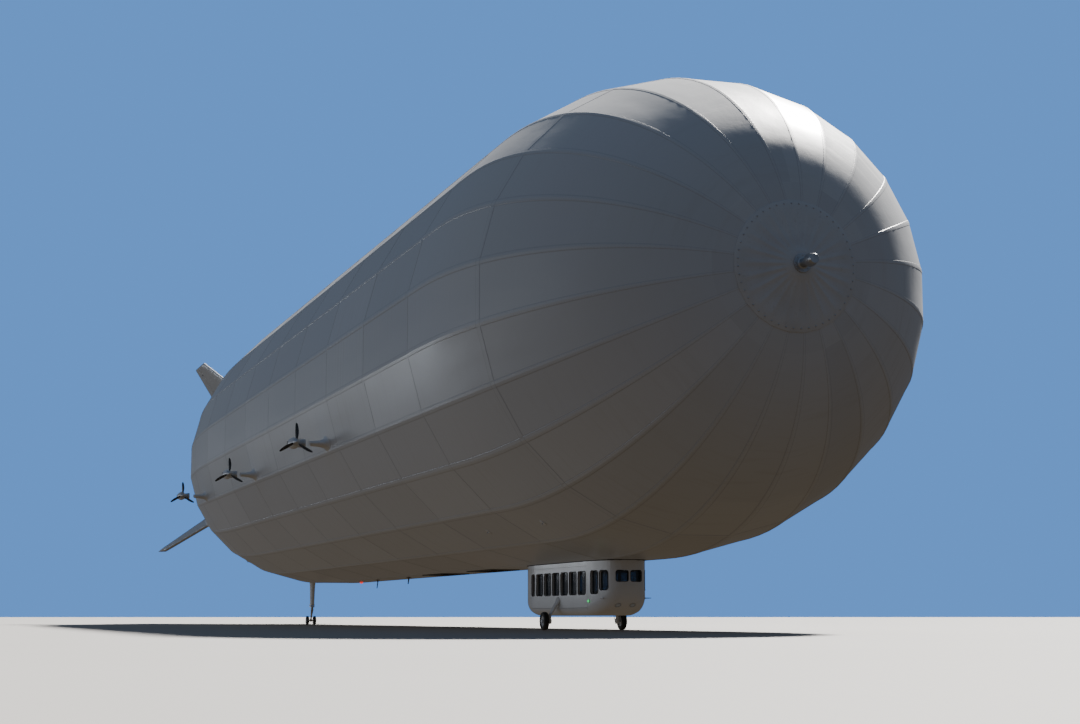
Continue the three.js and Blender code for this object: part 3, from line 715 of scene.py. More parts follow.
def tail_cone():
    rings = []
    for station in [12.0503, 12.054, 12.056, 12.080, 12.082] + spread(12.10, 12.336, 12) + [12.3405, 12.3425]:
        band = BAND_PROUD * (1 - smooth_step(12.080, 12.082, station)) * smooth_step(12.0503, 12.054, station)
        radius = max(hull_radius(station), TIP_RADIUS) - (0.003 if station > 12.342 else 0.0)
        round_share = smooth_step(12.08, 12.25, station)
        turns = [TAU * (k + 0.5) / (GORES * 4) for k in range(GORES * 4)]
        rings.append([around_axis(frame_x(station), radius * mix(flat_factor(t), 1.0, round_share) + band, t)
                      for t in turns])
    form = Form().loft(rings)
    for k in range(GORES):
        angle = TAU * k / GORES
        place = hull_point(BAND_RIVETS, angle, BAND_PROUD)
        add_fitting(form, place, away_from_axis(angle), screw(0.0022), coat=1)
    return form


add_piece("stern_cone", tail_cone(), [SHELL_WHITE, STEEL], "hull", "tail_cone")
stern_lamp = Form()
add_fitting(stern_lamp, (frame_x(12.342), 0, AXIS_HEIGHT), (-1, 0, 0), dome(0.0125, 0.0078))
add_piece("stern_lamp", stern_lamp, LAMP_WHITE, "hull")

# %% [markdown]
# ## Belly vents
# Two dark bays lie behind the gondola: trays let into the flat under the keel, with slats that turn the air
# inwards. A screwed flange holds each to the skin. The slats are curved plates, so they are lofted.

# %% Belly vents
KEEL_FLAT = AXIS_HEIGHT - HULL_RADIUS * math.cos(HALF_GORE)
SLAT_HALF_SPAN, SLAT_HALF_CHORD, SLAT_HALF_THICK, SLAT_PITCH, SLAT_TILT = 0.0635, 0.0155, 0.0011, 0.042, 38


def slat(x, z):
    """A curved plate across the vent, as two rings round its section."""
    section = []
    for side in (1, -1):
        for t in spread(-side, side, 8):
            turn = math.radians(SLAT_TILT) + t * 0.22
            along = Vector((math.sin(turn), 0, math.cos(turn))) * t * SLAT_HALF_CHORD
            section.append(along + Vector((math.cos(turn), 0, -math.sin(turn))) * side * SLAT_HALF_THICK)
    ends = [Vector((x, side * SLAT_HALF_SPAN, z)) for side in (-1, 1)]
    return Form().loft([[tuple(end + p) for p in section] for end in ends])


def belly_vent(station):
    form, x, face = Form(), frame_x(station), KEEL_FLAT - 0.0003
    flange = [(-0.222, -0.084, 0.222, -0.0615), (-0.222, 0.0615, 0.222, 0.084),
              (-0.222, -0.066, -0.1955, 0.066), (0.1955, -0.066, 0.222, 0.066)]
    for rear, right, front, left in flange:
        form.block((x + rear, right, face - 0.0042), (x + front, left, face), 0.0016)
    tray = [(-0.2095, -0.0745, -0.002, 0.2095, -0.062), (-0.2095, 0.062, -0.002, 0.2095, 0.0745),
            (-0.2095, -0.0745, -0.002, -0.196, 0.0745), (0.196, -0.0745, -0.002, 0.2095, 0.0745),
            (-0.2, -0.066, 0.0545, 0.2, 0.066)]
    for rear, right, low, front, left in tray:
        form.block((x + rear, right, face + low), (x + front, left, face + 0.0615), 0.001, coat=1)
    for k in range(-4, 5):
        form.join(slat(x + k * SLAT_PITCH, face + 0.0125))
    form.block((x - 0.198, -0.0028, face - 0.0012), (x + 0.198, 0.0028, face + 0.020), 0.0012)
    screws = [(along, side * 0.077) for along in spread(-0.212, 0.212, 11) for side in (-1, 1)]
    screws += [(side * 0.2135, across) for across in spread(-0.077, 0.077, 4)[1:-1] for side in (-1, 1)]
    for along, across in screws:
        add_fitting(form, (x + along, across, face - 0.0042), (0, 0, -1), screw(0.0026), coat=2)
    return form


for place, station in zip(("front", "rear"), VENT_STATIONS):
    add_piece(f"vent_{place}", belly_vent(station), [PANEL_DARK, SEAL, STEEL], "hull",
              f"belly_vent_{place}")
print("a vent has", triangle_count["vent_front"], "triangles")

# %% [markdown]
# ## Fins and rudders
# Four tapered fins stand in an X round the stern. Each is built pointing straight down from the hull's axis
# and then turned, so one function serves all four. The skin is cloth over ribs and two spars, so a tape runs
# over every rib and spar. The root follows the hull, whose height under the fin changes along the chord.

# %% Numbers of the fins, as in the CAD model
FIN_ANGLES = {"lower_starboard": -55, "upper_starboard": -145, "upper_port": 145, "lower_port": 55}
FIN_INNER, FIN_TIP = 0.33, 1.17
HINGE_STATION, HINGE_SHARE, HINGE_SLOT = 10.60, 0.72, 0.007
HINGE_RADII = [0.740, 1.090]
ROOT_CLEARANCE = 0.016
FIN_DEPTH = Curve([(0.0, 0.06), (0.07, 0.5), (0.22, 0.82), (0.45, 1.0), (0.75, 0.94), (1.0, HINGE_SHARE)])


def fin_line(radius):
    """Leading station, trailing station and half thickness of a fin, at a distance from the hull's axis."""
    share = (radius - FIN_INNER) / (FIN_TIP - FIN_INNER)
    return mix(8.89, 10.32, share), mix(11.06, 10.82, share), mix(0.040, 0.020, share)


def fin_depth(chord):
    """Half thickness as a share of the largest; the nose is round."""
    return 0.5 * math.sqrt(max(chord, 0.0) / 0.07) if chord < 0.07 else FIN_DEPTH(chord)


def hull_under(x, y, radius, degrees, grow=0.0):
    """How far from the axis the hull is, under a point at (x, y) beside the fin's middle plane."""
    angle = math.radians(degrees) + math.atan2(y, radius)
    out = hull_radius(NOSE_X - x) * flat_factor(angle) + grow
    return math.sqrt(max(out * out - y * y, 0.0))


def settled_root(place_at, degrees, grow=0.0):
    """Where a shape that narrows outwards meets the hull: from a first guess, again until it settles."""
    root = 0.8
    for _ in range(12):
        x, y = place_at(root)
        root = hull_under(x, y, root, degrees, grow)
    return root


def fin_place(chord, side, radius):
    """The point (x, y) on a fin's side, at a share of its chord and a distance from the hull's axis."""
    leading, _trailing, half = fin_line(radius)
    rear = HINGE_STATION - half * HINGE_SHARE - HINGE_SLOT
    return frame_x(mix(leading, rear, chord)), side * half * fin_depth(chord)


def fin_foot(chord, degrees):
    """How far from the axis a fin meets the hull, at a share of its chord."""
    return settled_root(lambda root: fin_place(chord, 0, root), degrees)


# %% Where tapes run on a fin
FIN_RIBS, FIN_SPARS = [0.13, 0.27, 0.41, 0.55, 0.69, 0.83], [0.30, 0.64]
RIB_TAPE, RIB_EDGE, RIB_PROUD = 0.0060, 0.0012, 0.0009


def with_tapes(plain, middles, half, edge):
    """Places from plain, plus four for each tape: both its edges and both its feet."""
    tapes = [m + side * (half + part * edge) for m in middles for side in (-1, 1) for part in (0, 1)]
    clear = [p for p in plain if all(abs(p - t) > edge * 1.5 for t in tapes)]
    return sorted(set(clear) | set(tapes))


def tape_over(place, middles, size):
    """How proud the cloth is over the nearest of some ribs or spars; size turns shares into metres."""
    distance = min(abs(place - m) for m in middles) * size
    return RIB_PROUD * (1 - smooth_step(RIB_TAPE - 0.0001, RIB_TAPE + RIB_EDGE - 0.0001, distance))


# %% A fin's surface, from the hull to the tip
def fin_solid(degrees):
    chords = with_tapes([0.0, 0.004, 0.014, 0.032, 0.06] + spread(0.1, 1.0, 12), FIN_SPARS, 0.012, 0.0022)
    spans = with_tapes(spread(0.0, 0.965, 14), FIN_RIBS, RIB_TAPE / 0.5, RIB_EDGE / 0.5)
    ring_way = [(1, c) for c in chords] + [(-1, c) for c in reversed(chords[1:])]
    feet = {c: fin_foot(c, degrees) - 0.010 for c in chords}
    tip, rings = FIN_TIP - 0.014, []
    for span in spans:
        ring = []
        for side, chord in ring_way:
            radius = mix(feet[chord], tip, span)
            proud = max(tape_over(chord, FIN_SPARS, 0.5), tape_over(span, FIN_RIBS, 0.5))
            x, y = fin_place(chord, side, radius)
            ring.append((x, y + side * proud * smooth_step(0.0, 0.03, chord), -radius))
        rings.append(ring)
    for turn in spread(0.25, QUARTER - 0.08, 5):
        radius, inset = tip + 0.0138 * math.sin(turn), (1 - math.cos(turn)) * 0.014
        ring = []
        for side, chord in ring_way:
            x, y = fin_place(chord, side, radius)
            ring.append((x - inset * (1 - chord), y * math.cos(turn), -radius))
        rings.append(ring)
    return Form().loft(rings)


# %% The fillet where a fin meets the hull
def root_fillet(degrees, width):
    """The fin's nose is swept, so each layer of the fillet follows the fin's outline at its own height."""
    chords = [1.0, 0.9, 0.8, 0.7, 0.6, 0.5, 0.4, 0.3, 0.22, 0.15, 0.10, 0.06, 0.03, 0.012, 0.003, 0.0005]
    way = [(1, c) for c in chords] + [(0, 0.0)] + [(-1, c) for c in reversed(chords)]
    feet = {c: fin_foot(c, degrees) for c in chords + [0.0]}
    outline = [Vector(fin_place(chord, side, feet[chord])) for side, chord in way]
    rings = []
    for i, (side, chord) in enumerate(way):
        along = (outline[min(i + 1, len(way) - 1)] - outline[max(i - 1, 0)]).normalized()
        away, root = Vector((-along.y, along.x)), feet[chord]
        ring = []
        for t in spread(0.0, QUARTER, 5):
            out, up = width * (1 - math.sin(t)), width * (1 - math.cos(t))
            p = Vector(fin_place(chord, side, root + up)) + away * (out + 0.0004)
            ring.append((p.x, p.y, -hull_under(p.x, p.y, root, degrees, 0.0004) - up))
        for deep, up in ((0.004, width * 0.9), (0.004, -0.006)):
            p = Vector(fin_place(chord, side, root + up)) - away * deep
            ring.append((p.x, p.y, -root - up))
        p = outline[i] + away * width
        ring.append((p.x, p.y, -hull_under(p.x, p.y, root, degrees, -0.004)))
        rings.append(ring)
    return Form().loft(rings)


# %% Rudders, with a round nose in front of the hinge line
RUDDER_RIBS, RUDDER_BOW, ROOT_EDGE, SKIN_EDGE = [0.10, 0.32, 0.54, 0.76], 0.10, 0.0022, 0.0024


def rudder_place(chord, how, radius, edge=SKIN_EDGE, bow=RUDDER_BOW, squeeze=1.0, proud=0.0):
    """The point (x, y) on a rudder. On its round nose chord is None and how is an angle. Further aft, chord
    is a share of the way to the trailing edge and how is the side. A bow fills it out, a squeeze flattens
    it."""
    _leading, trailing, half = fin_line(radius)
    nose = half * HINGE_SHARE
    if chord is None:
        return frame_x(HINGE_STATION - nose * math.cos(how)), -nose * math.sin(how) * squeeze
    fuller = 1 + bow * math.sin(math.pi * chord)
    across = mix(nose, edge, chord) * fuller * squeeze + proud * (1 - chord)
    return frame_x(mix(HINGE_STATION, trailing, chord)), how * across


def rudder_solid(degrees):
    spans = with_tapes(spread(0.0, 0.965, 12), RUDDER_RIBS, RIB_TAPE / 0.45, RIB_EDGE / 0.45)
    places = [(None, a) for a in spread(-QUARTER, QUARTER, 12)] + [(c, -1) for c in spread(0.1, 1.0, 7)]
    places += [(c, 1) for c in reversed(spread(0.1, 1.0, 7))]
    roots = [settled_root(lambda root: rudder_place(chord, how, root, ROOT_EDGE, 0.0), degrees,
                          ROOT_CLEARANCE) for chord, how in places]
    tip, rings = FIN_TIP - 0.012, []
    for span in spans:
        proud = tape_over(span, RUDDER_RIBS, 0.45)
        radii = [mix(root, tip, span) for root in roots]
        rings.append([(*rudder_place(chord, how, radius, proud=proud), -radius)
                      for (chord, how), radius in zip(places, radii)])
    for turn in spread(0.3, QUARTER - 0.1, 4):
        radius = tip + 0.0118 * math.sin(turn)
        rings.append([(*rudder_place(chord, how, radius, squeeze=math.cos(turn)), -radius)
                      for chord, how in places])
    return Form().loft(rings)


# %% Cutting one shape with another
def combined(shape, cutter, operation="DIFFERENCE"):
    """A new mesh: the first shape with the second taken away, added, or kept where both are."""
    meshes = [part.mesh("work") if isinstance(part, Form) else part for part in (shape, cutter)]
    first, second = [bpy.data.objects.new("work", mesh) for mesh in meshes]
    for made in (first, second):
        bpy.context.scene.collection.objects.link(made)
    boolean = first.modifiers.new("cut", "BOOLEAN")
    boolean.object, boolean.operation, boolean.solver = second, operation, "EXACT"
    graph = bpy.context.evaluated_depsgraph_get()
    result = bpy.data.meshes.new_from_object(first.evaluated_get(graph))
    for made in (first, second):
        bpy.data.objects.remove(made)
    return result


def hinge_arms():
    """Two flat tongues with round eyes, and the pins through them."""
    form, x, eye = Form(), frame_x(HINGE_STATION), 0.0078
    pin = [(-0.0105, 0.0), (-0.0105, 0.0042), (0.0105, 0.0042), (0.0105, 0.0)]
    for radius in HINGE_RADII:
        outline = [(x + 0.058, -eye), (x + 0.058, eye)]
        outline += [(x + eye * math.cos(t), eye * math.sin(t)) for t in spread(QUARTER, 3 * QUARTER, 12)]
        form.loft([[(px, py, -radius + h) for px, py in outline] for h in (-0.0068, -0.006, 0.006, 0.0068)])
        form.turned(pin, (x, 0, -radius), "z", 14)
    return form


def rudder_slots():
    """What is cut from a rudder's nose to let the hinge arms in."""
    form, x = Form(), frame_x(HINGE_STATION)
    for radius in HINGE_RADII:
        form.block((x - 0.015, -0.06, -radius - 0.0078), (x + 0.06, 0.06, -radius + 0.0078), 0.0001, 1)
    return form


# %% Placing fins and rudders
FIN_SKIN = laminate("fin_laminate", (0.62, 0.635, 0.655), panelled=False)
for place, degrees in FIN_ANGLES.items():
    turn = Matrix.Translation((0, 0, AXIS_HEIGHT)) @ Matrix.Rotation(math.radians(degrees), 4, "X")
    add_piece(f"fin_skin_{place}", fin_solid(degrees).moved(turn), FIN_SKIN, "hull",
              f"fin_{place}", crease=24)
    fillet = root_fillet(degrees, 0.020).moved(turn)
    add_piece(f"fin_fillet_{place}", fillet, SHELL_WHITE, "hull", crease=50)
    add_piece(f"hinge_arms_{place}", hinge_arms().moved(turn), ALLOY, "hull")
    cut = combined(rudder_solid(degrees), rudder_slots())
    cut.transform(turn)
    tidy_mesh(cut, 24)
    add_piece(f"rudder_skin_{place}", cut, FIN_SKIN, f"rudder_{place}", f"rudder_{place}")
print("a fin has", triangle_count["fin_skin_upper_port"], "triangles, a rudder",
      triangle_count["rudder_skin_upper_port"])

# %% [markdown]
# ## Motor pods
# Six pods stand off the flanks on short struts. A nacelle tilts on the end of its strut, so it is a piece of
# its own, and its propeller is another that spins. The strut flares where it meets the skin.

# %% Numbers of the pods, as in the CAD model
POD_STATIONS = [3.70, 5.95, 8.20]
POD_LATERAL, NACELLE_RADIUS, TRUNNION_RADIUS = 1.105, 0.030, 0.024
POD_HEIGHT = AXIS_HEIGHT - HULL_RADIUS * math.cos(math.radians(70))
TRUNNION_IN = POD_LATERAL - NACELLE_RADIUS - 0.016
NACELLE_FRONT, NACELLE_REAR, SHAFT_GAP = 0.062, -0.104, 0.0008


def airfoil(count):
    """Pairs (along, across) round a strut's section, both for a chord and a thickness of 1."""
    outline = []
    for k in range(count):
        along = math.cos(TAU * k / count) * 0.5
        fullness = 1.06 * (1 - 0.55 * smooth_step(0.15, -0.5, along))
        outline.append((along, 0.5 * math.sin(TAU * k / count) * fullness))
    return outline


def handed(profile, side, start=0.0):
    """A lathe profile along Y that runs outwards, for the port side (1) or the starboard side (-1)."""
    return [(side * (start + along), radius) for along, radius in profile]


# %% Strut
STRUT_CHORD = Curve([(0.0, 0.196), (0.012, 0.150), (0.030, 0.120), (0.06, 0.099), (0.12, 0.078)])
STRUT_THICK = Curve([(0.0, 0.080), (0.012, 0.050), (0.030, 0.036), (0.06, 0.028), (0.12, 0.024)])
STRUT_LAYERS = [-0.004, 0.0, 0.004, 0.009, 0.015, 0.023, 0.035, 0.05, 0.065, 0.08, 0.09]
STRUT_END = TRUNNION_IN - 0.006


def hull_side(z, station):
    """The hull's distance from the middle plane at a height z."""
    low, out = AXIS_HEIGHT - z, hull_radius(station)
    for _ in range(6):
        out = hull_radius(station) * flat_factor(math.acos(low / out))
    return math.sqrt(out * out - low * low)


def strut(station, side):
    """A faired arm; near the hull it swells into a foot that lies on the skin."""
    x, rings = frame_x(station), []
    for away in STRUT_LAYERS:
        ring = []
        for u, v in airfoil(32):
            ahead, z = u * STRUT_CHORD(away), POD_HEIGHT + v * STRUT_THICK(away)
            y = min(hull_side(z, station - ahead) + away, STRUT_END)
            ring.append((x + ahead, side * y, z))
        rings.append(ring)
    drum = [(-0.0138, 0.0), (-0.0138, TRUNNION_RADIUS), (-0.0012, TRUNNION_RADIUS),
            (0.0, TRUNNION_RADIUS - 0.0012), (0.0, 0.0)]
    return Form().loft(rings).turned(handed(drum, side, TRUNNION_IN), (x, 0, POD_HEIGHT), "y", 40, coat=1)


# %% Nacelle
NACELLE_BODY = Curve([(NACELLE_REAR, 0.006), (-0.092, 0.0125), (-0.070, 0.0195), (-0.040, 0.0262),
                      (0.0, 0.0298), (0.020, 0.0298), (0.040, 0.0272), (0.055, 0.0225),
                      (NACELLE_FRONT, 0.0195)])
PANEL_GROOVES, GROOVE_DEPTH = [-0.052, 0.031], 0.0007


def nacelle():
    """Built at the origin: the tilt axis is Y and the propeller's shaft points to +X."""
    profile = [(NACELLE_REAR, 0.0), (NACELLE_REAR, 0.0048)]
    for x in with_tapes(spread(NACELLE_REAR + 0.001, 0.058, 30), PANEL_GROOVES, 0.0011, 0.0004):
        groove = GROOVE_DEPTH * (1 - smooth_step(0.0008, 0.0014, min(abs(x - g) for g in PANEL_GROOVES)))
        profile.append((x, NACELLE_BODY(x) - groove))
    front = NACELLE_FRONT
    profile += [(0.0605, 0.0208), (front, 0.0196), (front - 0.0004, 0.0178), (front - 0.004, 0.0170),
                (front - 0.004, 0.0)]
    form = Form().turned(profile, segments=56)
    for side in (-1, 1):
        low_y, high_y = sorted((side * 0.0258, side * 0.0308))
        for z in spread(-0.006, 0.010, 3):
            form.block((-0.030, low_y, z - 0.0014), (-0.004, high_y, z + 0.0006), 0.0005, 1, "x", coat=1)
    return form.block((-0.034, -0.004, 0.0265), (0.012, 0.004, 0.0330), 0.0032, 3, "x")


def nacelle_boss(side):
    """The drum that turns on the strut's end."""
    reach = POD_LATERAL - TRUNNION_IN - 0.0006
    drum = [(-reach, 0.0), (-reach, 0.0208), (-reach + 0.001, 0.0220), (-reach + 0.007, 0.0220),
            (-reach + 0.009, 0.0205), (-0.018, 0.0215), (-0.004, 0.0225), (-0.004, 0.0)]
    return Form().turned(handed(drum, side), axis="y", segments=40)


# %% Propeller
PROPELLER_RADIUS, BLADE_SWEEP, BLADES_AHEAD = 0.100, 0.0035, 0.010
BLADE_CHORD = Curve([(0.008, 0.0115), (0.02, 0.0150), (0.032, 0.0198), (0.05, 0.0205), (0.066, 0.0188),
                     (0.085, 0.0145), (0.096, 0.0095), (0.0998, 0.0035)])
BLADE_THICK = Curve([(0.008, 0.0085), (0.032, 0.0052), (0.066, 0.0034), (0.0998, 0.0012)])
BLADE_PITCH = Curve([(0.008, 52.0), (0.032, 41.0), (0.066, 27.0), (0.0998, 18.0)])
BLADE_RADII = [0.008, 0.014, 0.02, 0.026, 0.034, 0.042, 0.052, 0.062, 0.072, 0.081, 0.089, 0.094, 0.0975,
               0.0998]
SPINNER = [(0.0, 0.0), (0.0, 0.0175), (0.0012, 0.0188), (0.0150, 0.0189), (0.0158, 0.0184), (0.0164, 0.0189),
           (0.020, 0.0180), (0.026, 0.0155), (0.032, 0.0112), (0.037, 0.0060), (0.0392, 0.0028), (0.040, 0.0)]


def blade():
    rings = []
    for radius in BLADE_RADII:
        turn = math.radians(BLADE_PITCH(radius))
        sweep = BLADE_SWEEP * math.sin(math.pi * radius / PROPELLER_RADIUS)
        c, s = math.cos(turn), math.sin(turn)
        section = [(u * BLADE_CHORD(radius) + sweep, v * BLADE_THICK(radius)) for u, v in airfoil(18)]
        rings.append([(along * s + across * c, along * c - across * s, radius) for along, across in section])
    return Form().loft(rings)


def propeller():
    form = Form().turned(SPINNER, segments=40, coat=1)
    for k in range(3):
        turn = Matrix.Rotation(math.radians(120 * k), 4, "X")
        form.join(blade().moved(Matrix.Translation((BLADES_AHEAD, 0, 0)) @ turn))
    return form


# %% Placing the pods
for name, side in SIDES:
    for number, station in enumerate(POD_STATIONS, 1):
        label = f"{name}_{number}"
        add_piece(f"strut_{label}", strut(station, side), [SHELL_WHITE, ALLOY], "hull",
                  f"pylon_{label}", crease=30)
        at = Matrix.Translation((frame_x(station), side * POD_LATERAL, POD_HEIGHT))
        housing = nacelle().join(nacelle_boss(side), coat=2)
        add_piece(f"pod_{label}", housing.moved(at), [SHELL_WHITE, PANEL_DARK, ALLOY], f"nacelle_{label}",
                  f"nacelle_{label}", crease=30)
        hub_at = at @ Matrix.Translation((NACELLE_FRONT + SHAFT_GAP, 0, 0))
        add_piece(f"blades_{label}", propeller().moved(hub_at), [CARBON, ALLOY], f"propeller_{label}",
                  f"propeller_{label}", crease=30)
print("a pod has", triangle_count["pod_port_1"], "triangles, a propeller", triangle_count["blades_port_1"])

# %% [markdown]
# ## Gondola
# The cabin under the bow is a moulded car with a flat keel, a round chin and a glazed nose. The real one is
# laid up in moulds and trimmed. Here one smooth body is lofted, hollowed, cut for its windows and sawn into
# its panels, so that each panel meets the next along a fine joint, just as the CAD model's panels do.

# %% Numbers of the gondola, as in the CAD model
CAR_X, CAR_HALF, CAR_WALL = frame_x(2.30), 0.600, 0.008
CAR_TOP, CEILING, WINDOW_LOW, WINDOW_HIGH = KEEL_FLAT - 0.0003, 0.292, 0.158, 0.262
FLOOR_SPLIT, ROOF_SPLIT, NOSE_SPLIT, TAIL_SPLIT = 0.100, 0.284, 0.395, -0.420
SECTIONS = [(-0.600, 0.048, 0.156, 0.024), (-0.582, 0.074, 0.126, 0.034), (-0.535, 0.099, 0.096, 0.040),
            (-0.450, 0.117, 0.075, 0.040), (-0.340, 0.125, 0.066, 0.038), (0.340, 0.125, 0.066, 0.038),
            (0.440, 0.119, 0.075, 0.042), (0.510, 0.105, 0.094, 0.044), (0.560, 0.086, 0.122, 0.042),
            (0.588, 0.062, 0.154, 0.034), (0.600, 0.036, 0.188, 0.020)]
CAR_WIDTH, CAR_KEEL, CAR_CORNER = [Curve([(row[0], row[k]) for row in SECTIONS]) for k in (1, 2, 3)]
DOOR = {"rear": -0.330, "front": -0.206, "low": 0.106, "high": 0.278}
SIDE_WINDOWS, WINDOW_HALF = [-0.150, -0.030, 0.090, 0.210, 0.330], 0.050
END_ROUND, SMALLEST_CORNER = 0.005, 0.006


def car_body(inset, top):
    """The car as one closed solid, shrunk by inset."""
    bends = [(END_ROUND * (1 - math.sin(t)), END_ROUND * (1 - math.cos(t))) for t in spread(0.5, QUARTER, 3)]
    runs = [(-CAR_HALF + END_ROUND, -0.5, 10), (-0.47, -0.34, 5), (-0.2, 0.2, 3), (0.34, 0.47, 6),
            (0.49, 0.57, 7), (0.577, CAR_HALF - END_ROUND, 5)]
    aheads = [(-CAR_HALF + back, more) for back, more in reversed(bends)]
    aheads += [(ahead, 0.0) for run in runs for ahead in spread(*run)]
    aheads += [(CAR_HALF - back, more) for back, more in bends]
    rings = []
    for ahead, more in aheads:
        wide, low = CAR_WIDTH(ahead) - inset - more, CAR_KEEL(ahead) + inset + more
        corner = max(CAR_CORNER(ahead) - inset - more, SMALLEST_CORNER)
        ahead *= 1 - inset / CAR_HALF * smooth_step(0.57, 0.6, abs(ahead))
        side = [(wide, top), (wide, mix(low + corner, top, 0.5))]
        side += [(wide - corner * (1 - math.cos(t)), low + corner * (1 - math.sin(t)))
                 for t in spread(0.0, QUARTER, 8)]
        rings.append([(CAR_X + ahead, y, z) for y, z in side + [(-y, z) for y, z in reversed(side)]])
    return Form().loft(rings)


# %% Outlines with round corners, and what they cut
def rounded_outline(low_u, high_u, low_v, high_v, radius, steps=5):
    corners = ((high_u - radius, high_v - radius), (low_u + radius, high_v - radius),
               (low_u + radius, low_v + radius), (high_u - radius, low_v + radius))
    outline = []
    for quarter, (u, v) in enumerate(corners):
        for t in spread(quarter * QUARTER, (quarter + 1) * QUARTER, steps):
            outline.append((u + radius * math.cos(t), v + radius * math.sin(t)))
    return outline


def across_car(outline, low_y, high_y):
    """A prism that runs across the car, with an outline of (ahead, height)."""
    return Form().loft([[(CAR_X + u, y, v) for u, v in outline] for y in (low_y, high_y)])


def car_box(rear, front, low_y, high_y, low_z, high_z):
    corners = [(rear, low_y), (front, low_y), (front, high_y), (rear, high_y)]
    return Form().loft([[(CAR_X + ahead, y, z) for ahead, y in corners] for z in (low_z, high_z)])


# %% Window openings
SIDE_PANES = [(m - WINDOW_HALF, m + WINDOW_HALF, WINDOW_LOW) for m in SIDE_WINDOWS]
SIDE_PANES += [(-0.400, -0.345, WINDOW_LOW)]
BOW_PANES = [(0.432, 0.497, 0.160), (0.507, 0.562, 0.176)]
DOOR_PLACE_PANE = (-0.318, -0.218, WINDOW_LOW)
NOSE_PANE = (0.004, 0.060, 0.212, WINDOW_HIGH, 0.010)
WINDOW_CORNER, SEAL_INSET = 0.013, 0.0006


def pane_outline(rear, front, sill, head=WINDOW_HIGH, grow=0.0):
    return rounded_outline(rear - grow, front + grow, sill - grow, head + grow, WINDOW_CORNER + grow)


def window_cutters():
    form = Form()
    for pane in SIDE_PANES:
        form.join(across_car(pane_outline(*pane), -0.2, 0.2))
    form.join(across_car(pane_outline(*DOOR_PLACE_PANE), -0.2, -0.06))
    for side in (-1, 1):
        for pane in BOW_PANES:
            form.join(across_car(pane_outline(*pane), *sorted((side * 0.04, side * 0.2))))
        nose = [(side * u, v) for u, v in rounded_outline(*NOSE_PANE)]
        form.loft([[(CAR_X + ahead, y, z) for y, z in nose] for ahead in (0.570, 0.66)])
    return form


# %% Sawing the car into panels
bare_car = combined(car_body(0.0, CAR_TOP), car_body(CAR_WALL, CEILING))
shell = combined(bare_car, window_cutters())
SAW = 0.0005
FRONT_CUT, REAR_CUT = NOSE_SPLIT - SAW, TAIL_SPLIT + SAW
LOW_CUT, HIGH_CUT = FLOOR_SPLIT + SAW, ROOF_SPLIT - SAW
PANELS = {
    "bow_shell": ("gondola_nose", (NOSE_SPLIT + SAW, 0.7, -0.3, 0.3, 0, 0.4)),
    "stern_shell": ("gondola_tail", (-0.7, TAIL_SPLIT - SAW, -0.3, 0.3, 0, 0.4)),
    "keel_shell": ("gondola_floor", (REAR_CUT, FRONT_CUT, -0.3, 0.3, 0, FLOOR_SPLIT - SAW)),
    "roof_shell": ("gondola_roof", (REAR_CUT, FRONT_CUT, -0.3, 0.3, ROOF_SPLIT + SAW, 0.4)),
    "starboard_side": ("gondola_wall_starboard", (REAR_CUT, FRONT_CUT, -0.3, 0, LOW_CUT, HIGH_CUT)),
    "port_side": ("gondola_wall_port", (REAR_CUT, FRONT_CUT, 0, 0.3, LOW_CUT, HIGH_CUT)),
}
DOOR_GAP = 0.003
door_hole = across_car(rounded_outline(DOOR["rear"] - DOOR_GAP, DOOR["front"], DOOR["low"] - DOOR_GAP,
                                       DOOR["high"] + DOOR_GAP, 0.015), 0.06, 0.2)


def add_cut(name, mesh, coat, body, node):
    """Adds a piece that was cut from the car, with its edges kept crisp."""
    tidy_mesh(mesh, 30)
    add_piece(name, mesh, coat, body, node)


for name, (node, limits) in PANELS.items():
    panel = combined(shell, car_box(*limits), "INTERSECT")
    if name == "port_side":
        panel = combined(panel, door_hole)
    add_cut(name, panel, SHELL_WHITE, "hull", node)
print("gondola panels:", {name: triangle_count[name] for name in PANELS})

# %% Door with its hinge
HINGE_X, HINGE_Y = CAR_X + DOOR["front"], 0.132
DOOR_PANE = (DOOR["rear"] + 0.022, DOOR["front"] - 0.026, WINDOW_LOW + 0.004, WINDOW_HIGH - 0.004)
door_edge = rounded_outline(DOOR["rear"], DOOR["front"] - DOOR_GAP, DOOR["low"], DOOR["high"], 0.012)
door_leaf = combined(bare_car, across_car(door_edge, 0.06, 0.3), "INTERSECT")
door_leaf = combined(door_leaf, across_car(pane_outline(*DOOR_PANE), 0.06, 0.3))
add_cut("door_leaf", door_leaf, SHELL_WHITE, "door", "gondola_door")


def door_fittings():
    """Two hinge leaves on sleeves, and a handle on its plate."""
    form, handle = Form(), CAR_X + DOOR["rear"] + 0.012
    sleeve = [(-0.011, 0.0031), (-0.011, 0.0048), (-0.0102, 0.0054), (0.0102, 0.0054), (0.011, 0.0048),
              (0.011, 0.0031)]
    for z in (0.160, 0.226):
        form.turned(sleeve, (HINGE_X, HINGE_Y, z), "z", 20)
        form.block((HINGE_X - 0.024, 0.1242, z - 0.0105), (HINGE_X - 0.003, 0.1282, z + 0.0105), 0.0015,
                   axis="y")
        for off in (-0.006, 0.006):
            add_fitting(form, (HINGE_X - 0.0185, 0.1282, z + off), (0, 1, 0), screw(0.0016))
    form.block((handle - 0.006, 0.1244, 0.126), (handle + 0.010, 0.1262, 0.150), 0.0015, 2, "y")
    bar = [(0.1255, 0.146), (0.1300, 0.145), (0.1310, 0.138), (0.1310, 0.130)]
    return form.tube([(handle + 0.002, y, z) for y, z in bar], 0.0014)


